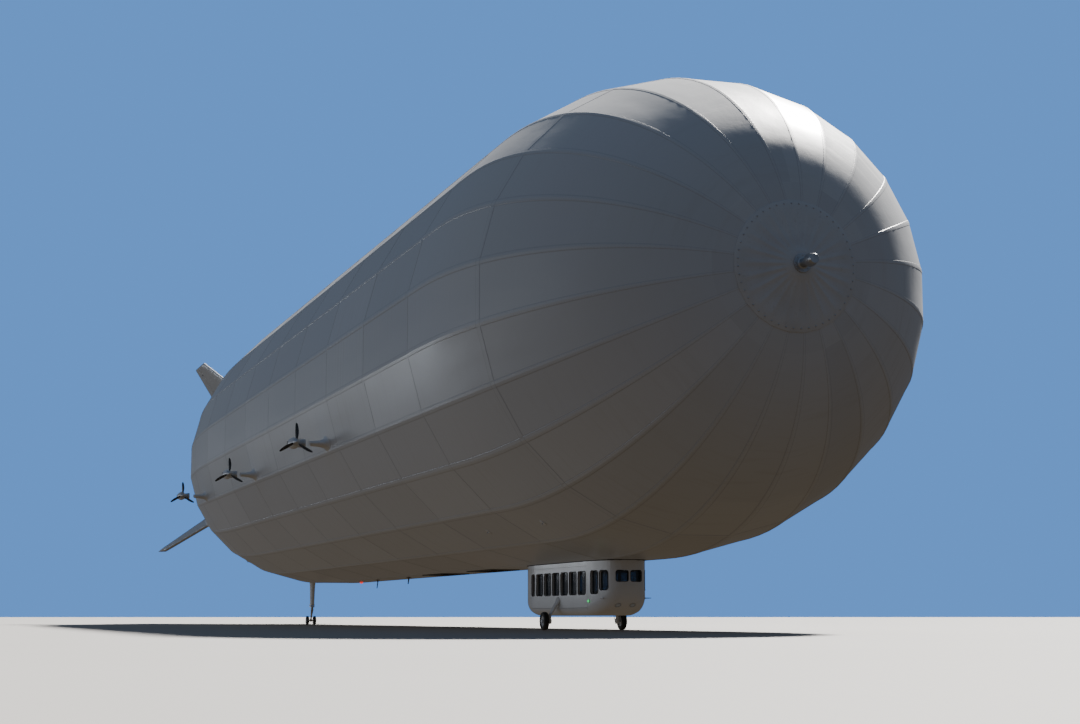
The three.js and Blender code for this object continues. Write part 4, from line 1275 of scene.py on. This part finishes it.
def hinge_rod():
    rod = [(0.126, 0.0), (0.126, 0.0024), (0.2735, 0.0024), (0.2735, 0.0)]
    form = Form().turned(rod, (HINGE_X, HINGE_Y, 0), "z", 16)
    for z in (0.129, 0.2705):
        form.block((HINGE_X - 0.003, 0.1225, z - 0.004), (HINGE_X + 0.014, 0.1350, z + 0.004), 0.0015)
        add_fitting(form, (HINGE_X + 0.009, 0.1350, z), (0, 1, 0), screw(0.0016))
    return form


add_piece("door_fittings", door_fittings(), STEEL, "door", crease=30)
add_piece("hinge_rod", hinge_rod(), STEEL, "hull", crease=30)

# %% Panes
PANE_DEPTH, PANE_GAP = 0.0025, 0.0003
PANES = {
    "panes_port": ("windows_port", (DOOR["front"] + 0.008, NOSE_SPLIT - 0.004, 0, 0.3, 0.146, 0.272)),
    "pane_port_rear": ("window_port_rear", (TAIL_SPLIT + 0.006, DOOR["rear"] - 0.008, 0, 0.3, 0.146, 0.272)),
    "panes_starboard": ("windows_starboard", (TAIL_SPLIT + 0.006, NOSE_SPLIT - 0.004, -0.3, 0, 0.146, 0.272)),
    "panes_bow": ("windshield", (NOSE_SPLIT + 0.004, 0.7, -0.3, 0.3, 0.140, 0.272)),
}


def glass_layer(inset, top, inner_top):
    """A sheet of glass that follows the whole car: a shrunk car less one that is shrunk a little more."""
    return combined(car_body(inset, top), car_body(inset + PANE_DEPTH, inner_top))


cabin_glass = glass_layer(CAR_WALL + PANE_GAP, 0.272, 0.290)
for name, (node, limits) in PANES.items():
    add_cut(name, combined(cabin_glass, car_box(*limits), "INTERSECT"), GLASS, "hull", node)
rear, front, sill, head = DOOR_PANE
door_limits = (rear + PANE_GAP, front - PANE_GAP, 0.06, 0.3, sill + PANE_GAP, head - PANE_GAP)
door_glass = combined(glass_layer(0.0025, 0.300, 0.310), car_box(*door_limits), "INTERSECT")
add_cut("door_pane", door_glass, GLASS, "door", "door_window")


# %% Rubber seals round the panes, and along the roof
def seal_path(pane, side):
    """A pane's outline of (ahead, height) laid on the car's wall."""
    outline = pane_outline(*pane, grow=-SEAL_INSET)
    return [(CAR_X + u, side * (CAR_WIDTH(u) + 0.0002), v) for u, v in outline]


def nose_at(y):
    """How far ahead the car's nose is at a distance y from the middle."""
    low, high = 0.55, 0.5985
    for _ in range(30):
        middle = (low + high) / 2
        low, high = (middle, high) if CAR_WIDTH(middle) > y else (low, middle)
    return low


def bead(path, radius):
    """A round bead along a closed path."""
    points = [Vector(p) for p in path]
    points = [p for i, p in enumerate(points) if (p - points[i - 1]).length > 1e-5]
    middle, rings = sum(points, Vector()) / len(points), []
    for i, p in enumerate(points):
        ahead = (points[(i + 1) % len(points)] - points[i - 1]).normalized()
        away = p - middle
        away = (away - ahead * away.dot(ahead)).normalized()
        rings.append(circle(p, away, ahead.cross(away), radius, 8))
    return Form().loft(rings, loop=True)


def window_seals():
    form, dense = Form(), []
    low_u, high_u, low_v, high_v, corner = NOSE_PANE
    nose = rounded_outline(low_u + SEAL_INSET, high_u - SEAL_INSET, low_v + SEAL_INSET, high_v - SEAL_INSET,
                           corner - SEAL_INSET)
    for (u, v), (u2, v2) in zip(nose, nose[1:] + nose[:1]):
        count = max(1, int(abs(u2 - u) / 0.004))
        dense += [(mix(u, u2, k / count), mix(v, v2, k / count)) for k in range(count)]
    for side in (-1, 1):
        for pane in SIDE_PANES + BOW_PANES + ([DOOR_PLACE_PANE] if side < 0 else []):
            form.join(bead(seal_path(pane, side), 0.0018))
        form.join(bead([(CAR_X + nose_at(u) + 0.0004, side * u, v) for u, v in dense], 0.0016))
    edge = [(ahead, CAR_WIDTH(ahead)) for ahead in spread(-0.595, 0.597, 60)]
    roof = edge + [(ahead, -out) for ahead, out in reversed(edge)]
    return form.join(bead([(CAR_X + ahead, y, CAR_TOP) for ahead, y in roof], 0.0042))


add_piece("window_seals", window_seals(), SEAL, "hull", crease=50)
add_piece("door_seal", bead(seal_path(DOOR_PANE, 1), 0.0018), SEAL, "door", crease=50)

# %% [markdown]
# ## Small things on the gondola
# Screws run along the panel joints. The bow has two landing lamps in its chin and an air speed probe on each
# side. A step stands out under the door, and a red and a green lamp mark port and starboard.

# %% Screws along the joints
def car_screws():
    form = Form()
    for side in (-1, 1):
        places = []
        for ahead in spread(REAR_CUT + 0.02, FRONT_CUT - 0.02, 26):
            over_door = side > 0 and DOOR["rear"] - 0.012 < ahead < DOOR["front"] + 0.012
            places += [(ahead, ROOF_SPLIT + off) for off in ((0.006,) if over_door else (-0.006, 0.006))]
        places += [(split + off, height) for split in (NOSE_SPLIT, TAIL_SPLIT) for off in (-0.007, 0.007)
                   for height in spread(0.125, 0.272, 6)]
        for ahead, height in places:
            add_fitting(form, (CAR_X + ahead, side * CAR_WIDTH(ahead), height), (0, side, 0), screw(0.0014))
    return form


add_piece("car_screws", car_screws(), STEEL, "hull", crease=40)

# %% Chin lamps and air speed probes
def chin_fittings():
    """Two landing lamps let into the chin, and a probe on each side of the bow."""
    metal, lenses, lamp_at, probe_at = Form(), Form(), 0.545, 0.53
    slope = (CAR_KEEL(lamp_at + 0.01) - CAR_KEEL(lamp_at - 0.01)) / 0.02
    bezel = [(-0.004, 0.0150), (0.0010, 0.0150), (0.0022, 0.0138), (0.0024, 0.0118), (-0.002, 0.0112)]
    for side in (-1, 1):
        place = (CAR_X + lamp_at, side * 0.034, CAR_KEEL(lamp_at))
        add_fitting(metal, place, (slope, 0, -1), Form().turned(bezel, axis="z", segments=36))
        add_fitting(lenses, place, (slope, 0, -1), dome(0.0114, 0.0034, 28))
        foot = Vector((CAR_X + probe_at, side * CAR_WIDTH(probe_at), 0.142))
        out = Vector((0.25, side, 0)).normalized()
        bends = [(-0.002, 0.0), (0.008, 0.0), (0.0125, 0.004), (0.0135, 0.012), (0.0135, 0.034)]
        metal.tube([foot + out * away + Vector((ahead, 0, 0)) for away, ahead in bends],
                   [0.0022, 0.0020, 0.0018, 0.0017, 0.0012], 12)
        add_fitting(metal, foot, out, dome(0.0050, 0.0016, 20))
    return metal, lenses


chin_metal, chin_lenses = chin_fittings()
add_piece("chin_fittings", chin_metal, STEEL, "hull", crease=30)
add_piece("chin_lenses", chin_lenses, LAMP_CLEAR, "hull")

# %% Step and side lamps
def door_step():
    """A ribbed tread on two bent arms, under the middle of the door."""
    form, middle = Form(), CAR_X + (DOOR["rear"] + DOOR["front"]) / 2
    form.block((middle - 0.036, 0.128, 0.070), (middle + 0.036, 0.158, 0.0745), 0.0018)
    for y in spread(0.132, 0.1536, 6):
        form.block((middle - 0.031, y, 0.0742), (middle + 0.031, y + 0.0014, 0.0756), 0.0004)
    for x in (middle - 0.030, middle + 0.030):
        form.tube([(x, 0.118, 0.098), (x, 0.134, 0.094), (x, 0.150, 0.074)], 0.0026, 12)
    return form


add_piece("door_step", door_step(), ALLOY, "hull", crease=30)
LAMP_AT, LAMP_HEIGHT = 0.415, 0.130
LAMP_FOOT = [(-0.003, 0.0088), (0.0006, 0.0088), (0.0016, 0.0078), (0.0018, 0.0060)]
for (name, side), coat in zip(SIDES, (LAMP_RED, LAMP_GREEN)):
    lamp, holder = Form(), Form()
    foot = Form().turned(LAMP_FOOT, axis="z", segments=24)
    for form, fitting, proud in ((lamp, dome(0.0062, 0.0062), 0.0018), (holder, foot, 0.0002)):
        place = (CAR_X + LAMP_AT, side * (CAR_WIDTH(LAMP_AT) + proud), LAMP_HEIGHT)
        add_fitting(form, place, (0.1, side, 0), fitting)
    add_piece(f"lamp_{name}", lamp, coat, "hull")
    add_piece(f"lamp_holder_{name}", holder, ALLOY, "hull")

# %% [markdown]
# ## Cabin
# Through the tinted panes one sees eight seats on their rails and the pilots' console. A seat has a padded
# cushion and a padded back, each crowned in the middle and drawn in along two sewn channels.

# %% Upholstery cloth
def upholstery():
    made, thread = Finish("seat_cloth", (0.060, 0.080, 0.115), 0.86, sheen_weight=0.35), 0.0009
    x, y, z = made.axes()
    weave = ((x + z) * (TAU / thread)).sine() * ((y + z * 0.5) * (TAU / thread)).sine()
    worn = (made.noise(30.0, 3) - 0.45).between(0.0, 0.3)
    made.colour(made.blend(worn * 0.5, (0.055, 0.074, 0.108), (0.105, 0.125, 0.155)))
    made.rough(0.80 + worn * 0.12)
    made.relief(weave * 0.4 + worn, 0.2, 0.0006)
    return made.material


SEAT_CLOTH = upholstery()
CABIN_FLOOR = 0.066 + CAR_WALL + 0.0003
SEAT_ROWS, SEAT_OFF = [0.215, 0.095, -0.015, -0.125], 0.054


def seat_place(row, side):
    return Matrix.Translation((CAR_X + row, side * SEAT_OFF, CABIN_FLOOR))


def pad(low, high, thin_axis, channels):
    """A cushion: a swollen box whose two channels run across its big faces."""
    u, v = [k for k in range(3) if k != thin_axis]
    middle = [(a + b) / 2 for a, b in zip(low, high)]
    half = [(b - a) / 2 for a, b in zip(low, high)]
    rings = []
    for t in spread(-QUARTER, QUARTER, 16):
        reach, level, ring = max(math.cos(t), 1e-4) ** 0.30, math.sin(t), []
        for k in range(40):
            c, s = math.cos(TAU * k / 40), math.sin(TAU * k / 40)
            grow = reach / (abs(c) ** 5 + abs(s) ** 5) ** 0.2
            pu, pv = c * grow, s * grow
            crown = 1 - 0.16 * (pu * pu + pv * pv)
            groove = sum(0.13 * math.exp(-((pv - g) / 0.07) ** 2) for g in channels)
            p = [0.0, 0.0, 0.0]
            p[u] = middle[u] + half[u] * pu * (1 - 0.03 * (1 - pv * pv))
            p[v] = middle[v] + half[v] * pv
            p[thin_axis] = middle[thin_axis] + half[thin_axis] * level * (crown - groove)
            ring.append(tuple(p))
        rings.append(ring)
    return Form().loft(rings)


# %% Seats
def seat_frame():
    """One seat's foot, pan, back plate and two arms."""
    form, foot = Form(), rounded_outline(-0.016, 0.016, -0.014, 0.014, 0.004, 3)
    levels = ((1, 0.0), (0.8, 0.008), (0.7, 0.022), (0.95, 0.030))
    form.loft([[(x * size, y * size, z) for x, y in foot] for size, z in levels])
    form.block((-0.024, -0.024, 0.0275), (0.025, 0.024, 0.0305), 0.001)
    form.block((-0.0342, -0.022, 0.034), (-0.0318, 0.022, 0.104), 0.001, 2, "x")
    for y in (-0.0245, 0.0245):
        form.tube([(-0.031, y, 0.060), (-0.006, y, 0.063), (0.016, y, 0.060)], 0.0022, 8)
    return form


def seat_frames():
    """All frames, on two rails that two cross bars join."""
    form, f = Form(), CABIN_FLOOR
    rear, front = CAR_X + SEAT_ROWS[-1], CAR_X + SEAT_ROWS[0]
    for side in (-1, 1):
        y = side * SEAT_OFF
        form.block((rear - 0.026, y - 0.006, f), (front + 0.026, y + 0.006, f + 0.006), 0.0012)
        for row in SEAT_ROWS:
            form.join(seat_frame().moved(seat_place(row, side)))
    for x in (front, rear):
        form.block((x - 0.005, -0.050, f), (x + 0.005, 0.050, f + 0.004), 0.001)
    return form


add_piece("seat_frames", seat_frames(), ALLOY, "hull", "cabin_seats", crease=40)
for name, side in SIDES:
    for number, row in enumerate(SEAT_ROWS, 1):
        cushion = pad((-0.022, -0.0235, 0.0300), (0.026, 0.0235, 0.0425), 2, (-0.33, 0.33))
        back = pad((-0.0322, -0.0235, 0.040), (-0.0215, 0.0235, 0.1085), 0, (-0.45, 0.35))
        for part, form in (("cushion", cushion), ("back", back)):
            made = add_piece(f"seat_{part}_{name}_{number}", form.moved(seat_place(row, side)), SEAT_CLOTH,
                             "hull", crease=60)


# %% Console
def console():
    """A desk with three screens in its sloping face and two levers between them."""
    form, half = Form(), 0.076
    outline = [(0.282, CABIN_FLOOR), (0.332, CABIN_FLOOR), (0.332, 0.148), (0.329, 0.1525), (0.320, 0.1590),
               (0.316, 0.1588), (0.286, 0.1392), (0.284, 0.1365), (0.2915, 0.112), (0.2905, 0.106)]
    middle = [sum(values) / len(outline) for values in zip(*outline)]
    levels = [(-half, 0.97), (-half + 0.002, 1.0), (half - 0.002, 1.0), (half, 0.97)]
    form.loft([[(CAR_X + mix(middle[0], u, size), y, mix(middle[1], v, size)) for u, v in outline]
               for y, size in levels])
    slope, across = Vector((0.316 - 0.286, 0, 0.1588 - 0.1392)).normalized(), Vector((0, 1, 0))
    up = Vector((-slope.z, 0, slope.x))
    for y in (-0.050, 0.0, 0.050):
        foot = Vector((CAR_X + 0.301, y, 0.1490))
        for size, lift, coat in ((0.0150, 0.0008, 0), (0.0130, 0.0014, 1)):
            screen = rounded_outline(-size, size, -size * 1.45, size * 1.45, 0.002, 3)
            form.loft([[tuple(foot + slope * u + across * v + up * h) for u, v in screen]
                       for h in (-0.002, lift)], coat)
    for y in (-0.026, 0.026):
        foot = Vector((CAR_X + 0.290, y, 0.1420))
        bends = ((-0.002, 0.0), (0.006, 0.002), (0.011, 0.005))
        form.tube([foot + up * rise - slope * back for rise, back in bends], 0.0010, 8, 2)
        add_fitting(form, foot + up * 0.0105 - slope * 0.005, up, dome(0.0024, 0.0030, 12), 2)
    return form


SCREEN = tinted_glass("screen_glass", (0.010, 0.030, 0.045), 1.0)
add_piece("pilots_console", console(), [PANEL_DARK, SCREEN, ALLOY], "hull",
          "instrument_console", crease=30)

# %% [markdown]
# ## Wheels and legs
# A tyre is a turned form with grooves in its tread. Its rim is another, dished, with a hub and a ring of
# bolts. Both belong to one piece that turns on its axle. The wheels touch the floor exactly, so the tyre has
# the height of the CAD model's tread flats.

# %% Wheel
SHOULDER = [(0.62, 0.56), (0.80, 0.575), (0.93, 0.63), (1.0, 0.74), (0.97, 0.85), (0.84, 0.93), (0.62, 0.978)]
RIM = [(0.60, 0.24), (0.34, 0.30), (0.30, 0.44), (0.52, 0.50), (0.70, 0.53), (0.70, 0.57), (0.60, 0.565)]


def wheel(radius, width, bore):
    """Built at the origin, turning about Y. Its profiles are shares of half the width and of the radius."""
    half, form = width / 2, Form()

    def scaled(pairs, side=1):
        return [(side * share * half, out * radius) for share, out in pairs]

    tyre = scaled(SHOULDER, -1)
    for k in range(-3, 4):
        crown = 1 - 0.0045 * abs(k) ** 1.5
        rib = [(-0.055, crown), (0.055, crown)] + ([(0.062, 0.972), (0.108, 0.972)] if k < 3 else [])
        tyre += scaled([(k * 0.17 + off, out) for off, out in rib])
    tyre += scaled(SHOULDER[::-1]) + scaled([(0.30, 0.54), (-0.30, 0.54)])
    form.turned(tyre + tyre[:1], axis="y", segments=72)
    hub = [(side * 0.60 * half, bore) for side in (-1, 1)]
    form.turned(hub[:1] + scaled(RIM, -1) + scaled(RIM[::-1]) + hub[::-1], axis="y", segments=56, coat=1)
    for k in range(6):
        turn, out = TAU * k / 6, radius * 0.37
        for side in (-1, 1):
            place = (out * math.sin(turn), side * half * 0.315, out * math.cos(turn))
            add_fitting(form, place, (0, side, 0), bolt(radius * 0.035), 2)
    return form


# %% Main gear
TRACK, WHEEL_RADIUS, WHEEL_WIDTH = 0.190, 0.042, 0.026
TREAD_DROP = math.cos(math.pi / 28)
MAIN_AXLE = WHEEL_RADIUS * TREAD_DROP
FOOT = TRACK - WHEEL_WIDTH / 2 - 0.004
LEG = [(0.1195, 0.1530, 0.020, 0.008), (0.1205, 0.1500, 0.044, 0.014), (0.1215, 0.1450, 0.060, 0.0195),
       (0.1230, 0.1385, 0.068, 0.0235), (0.1275, 0.1290, 0.062, 0.0225), (0.132, 0.1215, 0.055, 0.020),
       (0.140, 0.1120, 0.048, 0.018), (0.150, 0.0930, 0.041, 0.0165), (0.160, 0.0760, 0.035, 0.015),
       (FOOT - 0.007, 0.062, 0.030, 0.014), (FOOT - 0.007, 0.045, 0.0275, 0.014),
       (FOOT - 0.007, 0.031, 0.026, 0.014)]
KNUCKLE = [(-0.0145, 0.0), (-0.0145, 0.0120), (-0.0135, 0.0130), (-0.0015, 0.0130), (-0.0005, 0.0120),
           (-0.0005, 0.0)]
AXLE = [(-0.021, 0.0), (-0.021, 0.0060), (0.012, 0.0060), (0.012, 0.0)]
WASHER = [(0.0085, 0.0), (0.0085, 0.0098), (0.0095, 0.0098), (0.0098, 0.0)]
NUT = [(0.0095, 0.0), (0.0095, 0.0080), (0.0138, 0.0080), (0.0150, 0.0068), (0.0150, 0.0)]
HOSE = [(-0.022, 0.127, 0.112), (-0.0265, 0.137, 0.104), (-0.024, 0.149, 0.084), (-0.0185, 0.1575, 0.064),
        (-0.0150, 0.159, 0.049), (-0.010, 0.1600, 0.0440)]


def main_leg(side):
    """A faired leg with its knuckle, axle, washer, nut and brake hose."""
    form = Form().loft([[(CAR_X + u * chord, side * (y + v * thick), z) for u, v in airfoil(28)]
                        for y, z, chord, thick in LEG])
    lathes = ((KNUCKLE, FOOT, 32, 0), (AXLE, TRACK, 24, 1), (WASHER, TRACK, 28, 1), (NUT, TRACK, 6, 1))
    for profile, start, segments, coat in lathes:
        form.turned(handed(profile, side, start), (CAR_X, 0, MAIN_AXLE), "y", segments, coat)
    ahead, out, height = [Curve(list(enumerate(values))) for values in zip(*HOSE)]
    path = [(CAR_X + ahead(t), side * out(t), height(t)) for t in spread(0, len(HOSE) - 1, 20)]
    return form.tube(path, 0.0014, 8, coat=2)


for name, side in SIDES:
    add_piece(f"leg_{name}", main_leg(side), [SHELL_WHITE, STEEL, SEAL], "hull", f"main_leg_{name}",
              crease=34)
    turned = wheel(MAIN_AXLE, WHEEL_WIDTH, 0.0065).moved(Matrix.Translation((CAR_X, side * TRACK, MAIN_AXLE)))
    add_piece(f"wheel_{name}", turned, [TYRE, SHELL_WHITE, STEEL], f"main_wheel_{name}",
              f"main_wheel_{name}", crease=28)

# %% Aft mast
AFT_X, BEARING, MAST_TOP = frame_x(8.70), 0.150, 0.352
HULL_AT_MAST, HEAD_WIDER = 0.93, 1.05
MAST_CHORD = Curve([(0.150, 0.060), (0.162, 0.062), (0.300, 0.084), (0.340, 0.104), (0.372, 0.150)])
MAST_THICK = Curve([(0.150, 0.031), (0.162, 0.032), (0.300, 0.040), (0.340, 0.050), (0.372, 0.086)])
MAST_BEARING = [(0.0, 0.0), (0.0, 0.0185), (0.0012, 0.0200), (0.0108, 0.0200), (0.012, 0.0188), (0.012, 0.0)]


def mast():
    """A faired mast whose head swells until it lies under the skin."""
    rings = []
    for z in spread(BEARING + 0.006, 0.30, 8) + spread(0.312, MAST_TOP, 6):
        rings.append([(AFT_X + u * MAST_CHORD(z), v * MAST_THICK(z), z) for u, v in airfoil(36)])
    for grow, deep in ((1.0, 0.004), (1.14, 0.0006), (1.34, 0.0006)):
        ring = []
        for u, v in airfoil(36):
            x = AFT_X + u * MAST_CHORD(MAST_TOP) * grow
            y = v * MAST_THICK(MAST_TOP) * grow * HEAD_WIDER
            skin = AXIS_HEIGHT - hull_under(x, y, HULL_AT_MAST, 0)
            ring.append((x, y, max(skin - deep, MAST_TOP + 0.001)))
        rings.append(ring)
    return Form().loft(rings).turned(MAST_BEARING, (AFT_X, 0, BEARING), "z", 40, coat=1)


add_piece("mast", mast(), [SHELL_WHITE, ALLOY], "hull", "aft_mast", crease=32)

# %% Fork and twin wheels
AFT_TRAIL, AFT_RADIUS, AFT_WIDTH, AFT_HALF_TRACK = 0.034, 0.034, 0.020, 0.028
AFT_AXLE, FORK_X = AFT_RADIUS * TREAD_DROP, AFT_X - AFT_TRAIL
FORK_BEARING = [(-0.014, 0.0), (-0.014, 0.0185), (-0.0128, 0.0200), (-0.0018, 0.0200), (-0.0006, 0.0190),
                (-0.0006, 0.0)]
FORK = [(AFT_X, BEARING - 0.006, 0.030, 0.018), (AFT_X - 0.003, 0.128, 0.029, 0.0175),
        (AFT_X - 0.009, 0.106, 0.027, 0.016), (AFT_X - 0.016, 0.086, 0.0255, 0.0148),
        (AFT_X - 0.025, 0.062, 0.024, 0.0143), (FORK_X, 0.042, 0.0225, 0.014),
        (FORK_X, AFT_AXLE, 0.0215, 0.014), (FORK_X, 0.0255, 0.0180, 0.0138)]


def fork():
    """A single leg that trails its axle, with a round bearing on top and a link on each side."""
    form = Form().turned(FORK_BEARING, (AFT_X, 0, BEARING), "z", 40)
    form.loft([[(x + u * chord, v * thick, z) for u, v in airfoil(28)] for x, z, chord, thick in FORK])
    eye = [(-0.0076, 0.0058), (-0.0076, 0.0105), (0.0076, 0.0105), (0.0076, 0.0058), (-0.0076, 0.0058)]
    form.turned(eye, (FORK_X, 0, AFT_AXLE), "y")
    for side in (-1, 1):
        link = [(0.012, 0.006, BEARING - 0.012), (0.010, 0.008, 0.112), (-0.011, 0.0055, 0.079)]
        form.tube([(AFT_X + ahead, side * y, z) for ahead, y, z in link], [0.0024, 0.0020, 0.0016], coat=1)
    return form


def aft_wheels():
    form = Form().turned([(-0.036, 0.0), (-0.036, 0.0054), (0.036, 0.0054), (0.036, 0.0)], axis="y",
                         segments=24, coat=2)
    for side in (-1, 1):
        form.join(wheel(AFT_AXLE, AFT_WIDTH, 0.005).moved(Matrix.Translation((0, side * AFT_HALF_TRACK, 0))))
    return form.moved(Matrix.Translation((FORK_X, 0, AFT_AXLE)))


add_piece("fork", fork(), [ALLOY, STEEL], "aft_fork", "aft_fork", crease=32)
add_piece("twin_wheels", aft_wheels(), [TYRE, SHELL_WHITE, STEEL], "aft_wheels", "aft_wheels",
          crease=28)
print("main wheel", triangle_count["wheel_port"], "triangles, twin wheels", triangle_count["twin_wheels"])

# %% [markdown]
# ## Fittings on the hull
# A keel beacon, two blade aerials, gas vent hoods beside the crown, and eyes for the handling lines. None of
# them is large, but the bare skin looks like a toy without them.

# %% Keel aerials and beacon
BEACON_X = frame_x(6.95)
BEACON_FOOT = [(0.001, 0.017), (-0.003, 0.017), (-0.0045, 0.0152), (-0.0045, 0.0118)]


def blade_aerial(station, height, chord):
    form, x, reach = Form(), frame_x(station), chord * 0.75
    form.block((x - reach, -0.010, KEEL_FLAT - 0.0030), (x + reach, 0.010, KEEL_FLAT + 0.001), 0.0014)
    rings = []
    for share, size in ((0.0, 1.0), (0.5, 0.85), (0.9, 0.66), (0.97, 0.60), (1.0, 0.45)):
        middle, z = x - share * height * 0.45, KEEL_FLAT - 0.002 - height * share
        rings.append([(middle + u * chord * size, v * 0.006 * size, z) for u, v in airfoil(20)])
    return form.loft(rings)


beacon = Form()
add_fitting(beacon, (BEACON_X, 0, KEEL_FLAT - 0.004), (0, 0, -1), dome(0.012, 0.014, 28))
beacon_foot = Form().turned(BEACON_FOOT, (BEACON_X, 0, KEEL_FLAT), "z", 36)
aerials = blade_aerial(5.60, 0.040, 0.036).join(blade_aerial(6.45, 0.055, 0.030))
add_piece("keel_aerials", aerials, PANEL_DARK, "hull", crease=32)
add_piece("keel_beacon", beacon, LAMP_RED, "hull")
add_piece("beacon_foot", beacon_foot, ALLOY, "hull")

# %% Crown hoods and line eyes
HOOD = [(-0.006, 0.056), (0.0, 0.056), (0.0022, 0.0545), (0.0025, 0.046), (0.0085, 0.0445), (0.0105, 0.040),
        (0.0115, 0.020), (0.0118, 0.0)]
HOOD_SCREWS, LINE_ANGLE, LINE_LOOP = 0.0508, math.radians(30), 0.0058
LINE_PATCH = [(-0.004, 0.016), (0.0012, 0.016), (0.0020, 0.0148), (0.0020, 0.0)]


def crown_hoods():
    """Low round hoods over the gas vents, in every second bay, on the flats to either side of the crown."""
    form = Form()
    for number, (low, high) in enumerate(zip(FRAME_STATIONS[0:-3:2], FRAME_STATIONS[1:-3:2])):
        station, angle = (low + high) / 2, math.pi + (1 if number % 2 else -1) * 2 * HALF_GORE
        slope = (hull_radius(station + 0.05) - hull_radius(station - 0.05)) / 0.1
        hood = Form().turned(HOOD, axis="z", segments=40)
        for k in range(10):
            turn = TAU * k / 10
            place = (HOOD_SCREWS * math.cos(turn), HOOD_SCREWS * math.sin(turn), 0.0023)
            add_fitting(hood, place, (0, 0, 1), screw(0.0022), 1)
        add_fitting(form, hull_point(station, angle), away_from_axis(angle, slope), hood, None)
    return form


def line_eyes():
    """Doubled patches with an eye for each handling line, low on both flanks."""
    form = Form()
    for station in (1.40, 2.18, 9.0, 9.8):
        for angle in (-LINE_ANGLE, LINE_ANGLE):
            eye = Form().turned(LINE_PATCH, axis="z", segments=28)
            eye.tube([(LINE_LOOP * math.cos(t), 0, 0.0030 + LINE_LOOP * math.sin(t))
                      for t in spread(-0.35, math.pi + 0.35, 14)], 0.0014, 8, coat=1)
            add_fitting(form, hull_point(station, angle), away_from_axis(angle), eye, None)
    return form


add_piece("crown_hoods", crown_hoods(), [SHELL_WHITE, STEEL], "hull", crease=30)
add_piece("line_eyes", line_eyes(), [SHELL_WHITE, STEEL], "hull", crease=30)

# %% [markdown]
# ## The stage
# A sun high behind the port side whitens a crescent of the nose and leaves the flank in the sky's blue light.
# One long, low strip lamp draws the streaks along the gores. The ship in the picture flies, so its belly
# gathers the dim brown light of far ground. Here the floor is only a metre below and would light it like a
# mirror, so the floor is kept out of what the hull gathers. The camera stands on the floor and looks up.

# %% Floor, lamps and camera
def floor_piece(size):
    """A square floor that reaches this far each way."""
    mesh = bpy.data.meshes.new("studio_floor")
    corners = [(-size, -size, 0), (size, -size, 0), (size, size, 0), (-size, size, 0)]
    mesh.from_pydata(corners, [], [(0, 1, 2, 3)])
    floor = bpy.data.objects.new("studio_floor", mesh)
    bpy.context.scene.collection.objects.link(floor)
    paint = Finish("floor_paint", (0.36, 0.35, 0.335), 0.75)
    paint.colour(paint.blend(paint.noise(0.8, 3), (0.35, 0.34, 0.325), (0.375, 0.365, 0.35)))
    mesh.materials.append(paint.material)
    floor.visible_diffuse = floor.visible_glossy = False


def aimed(name, data, place, aim):
    """A lamp or a camera that stands at a place and looks along aim."""
    made = bpy.data.objects.new(name, data)
    made.location, made.rotation_mode = place, "QUATERNION"
    made.rotation_quaternion = Vector(aim).to_track_quat("-Z", "Y")
    bpy.context.scene.collection.objects.link(made)
    return made


floor_piece(600.0)
SUN_TOWARDS = Vector((-0.48, 0.52, 0.71))
sun = bpy.data.lights.new("key", "SUN")
sun.energy, sun.angle, sun.color = 15.5, math.radians(5.0), (1.0, 0.97, 0.93)
aimed("key", sun, (0, 0, 0), -SUN_TOWARDS)
STRIP_PLACE, STRIP_TARGET = Vector((-7.0, -12.5, 1.4)), Vector((-1.0, 0.0, 3.4))
strip = bpy.data.lights.new("low_strip", "AREA")
strip.shape, strip.size, strip.size_y = "RECTANGLE", 26.0, 1.2
strip.energy, strip.color = 290, (0.85, 0.92, 1.0)
aimed("low_strip", strip, STRIP_PLACE, STRIP_TARGET - STRIP_PLACE)

CAMERA_PLACE, CAMERA_TARGET = Vector((12.0, -2.9, 0.06)), Vector((2.16, 0.33, 1.48))
camera = aimed("camera", bpy.data.cameras.new("camera"), CAMERA_PLACE, CAMERA_TARGET - CAMERA_PLACE)
camera.data.sensor_width, camera.data.lens, camera.data.clip_end = 36.0, 62.0, 2000.0
bpy.context.scene.camera = camera

# %% [markdown]
# The world has two skies. One lights the ship: blue above, brown below. The camera sees the other, a plain
# blue, wherever no piece is in the way.

# %% The two skies
world = bpy.data.worlds.new("studio")
world.use_nodes = True
nodes = world.node_tree.nodes


def world_node(kind, **values):
    made = nodes.new(kind)
    for socket, value in values.items():
        made.inputs[socket.replace("_", " ")].default_value = value
    return made


direction, split = world_node("ShaderNodeTexCoord"), world_node("ShaderNodeSeparateXYZ")
rise = world_node("ShaderNodeMapRange", From_Min=-0.2, From_Max=0.2)
tint = world_node("ShaderNodeMix")
tint.data_type = "RGBA"
tint.inputs[6].default_value, tint.inputs[7].default_value = (0.62, 0.50, 0.36, 1), (0.50, 0.68, 1.0, 1)
light_sky = nodes["Background"]
light_sky.inputs["Strength"].default_value = 0.165
seen_sky = world_node("ShaderNodeBackground", Color=(0.12, 0.33, 0.82, 1), Strength=0.95)
which_sky, ray = world_node("ShaderNodeMixShader"), world_node("ShaderNodeLightPath")
for source, output, target, socket in (
        (direction, "Generated", split, 0), (split, "Z", rise, "Value"), (rise, 0, tint, 0),
        (tint, 2, light_sky, "Color"), (ray, "Is Camera Ray", which_sky, "Fac"),
        (light_sky, "Background", which_sky, 1), (seen_sky, "Background", which_sky, 2),
        (which_sky, "Shader", nodes["World Output"], "Surface")):
    world.node_tree.links.new(source.outputs[output], target.inputs[socket])
bpy.context.scene.world = world

# %% [markdown]
# ## Triangle count
# The triangles that the dressing adds are summed and printed.

# %% Triangle count
print("triangles added", sum(triangle_count.values()))
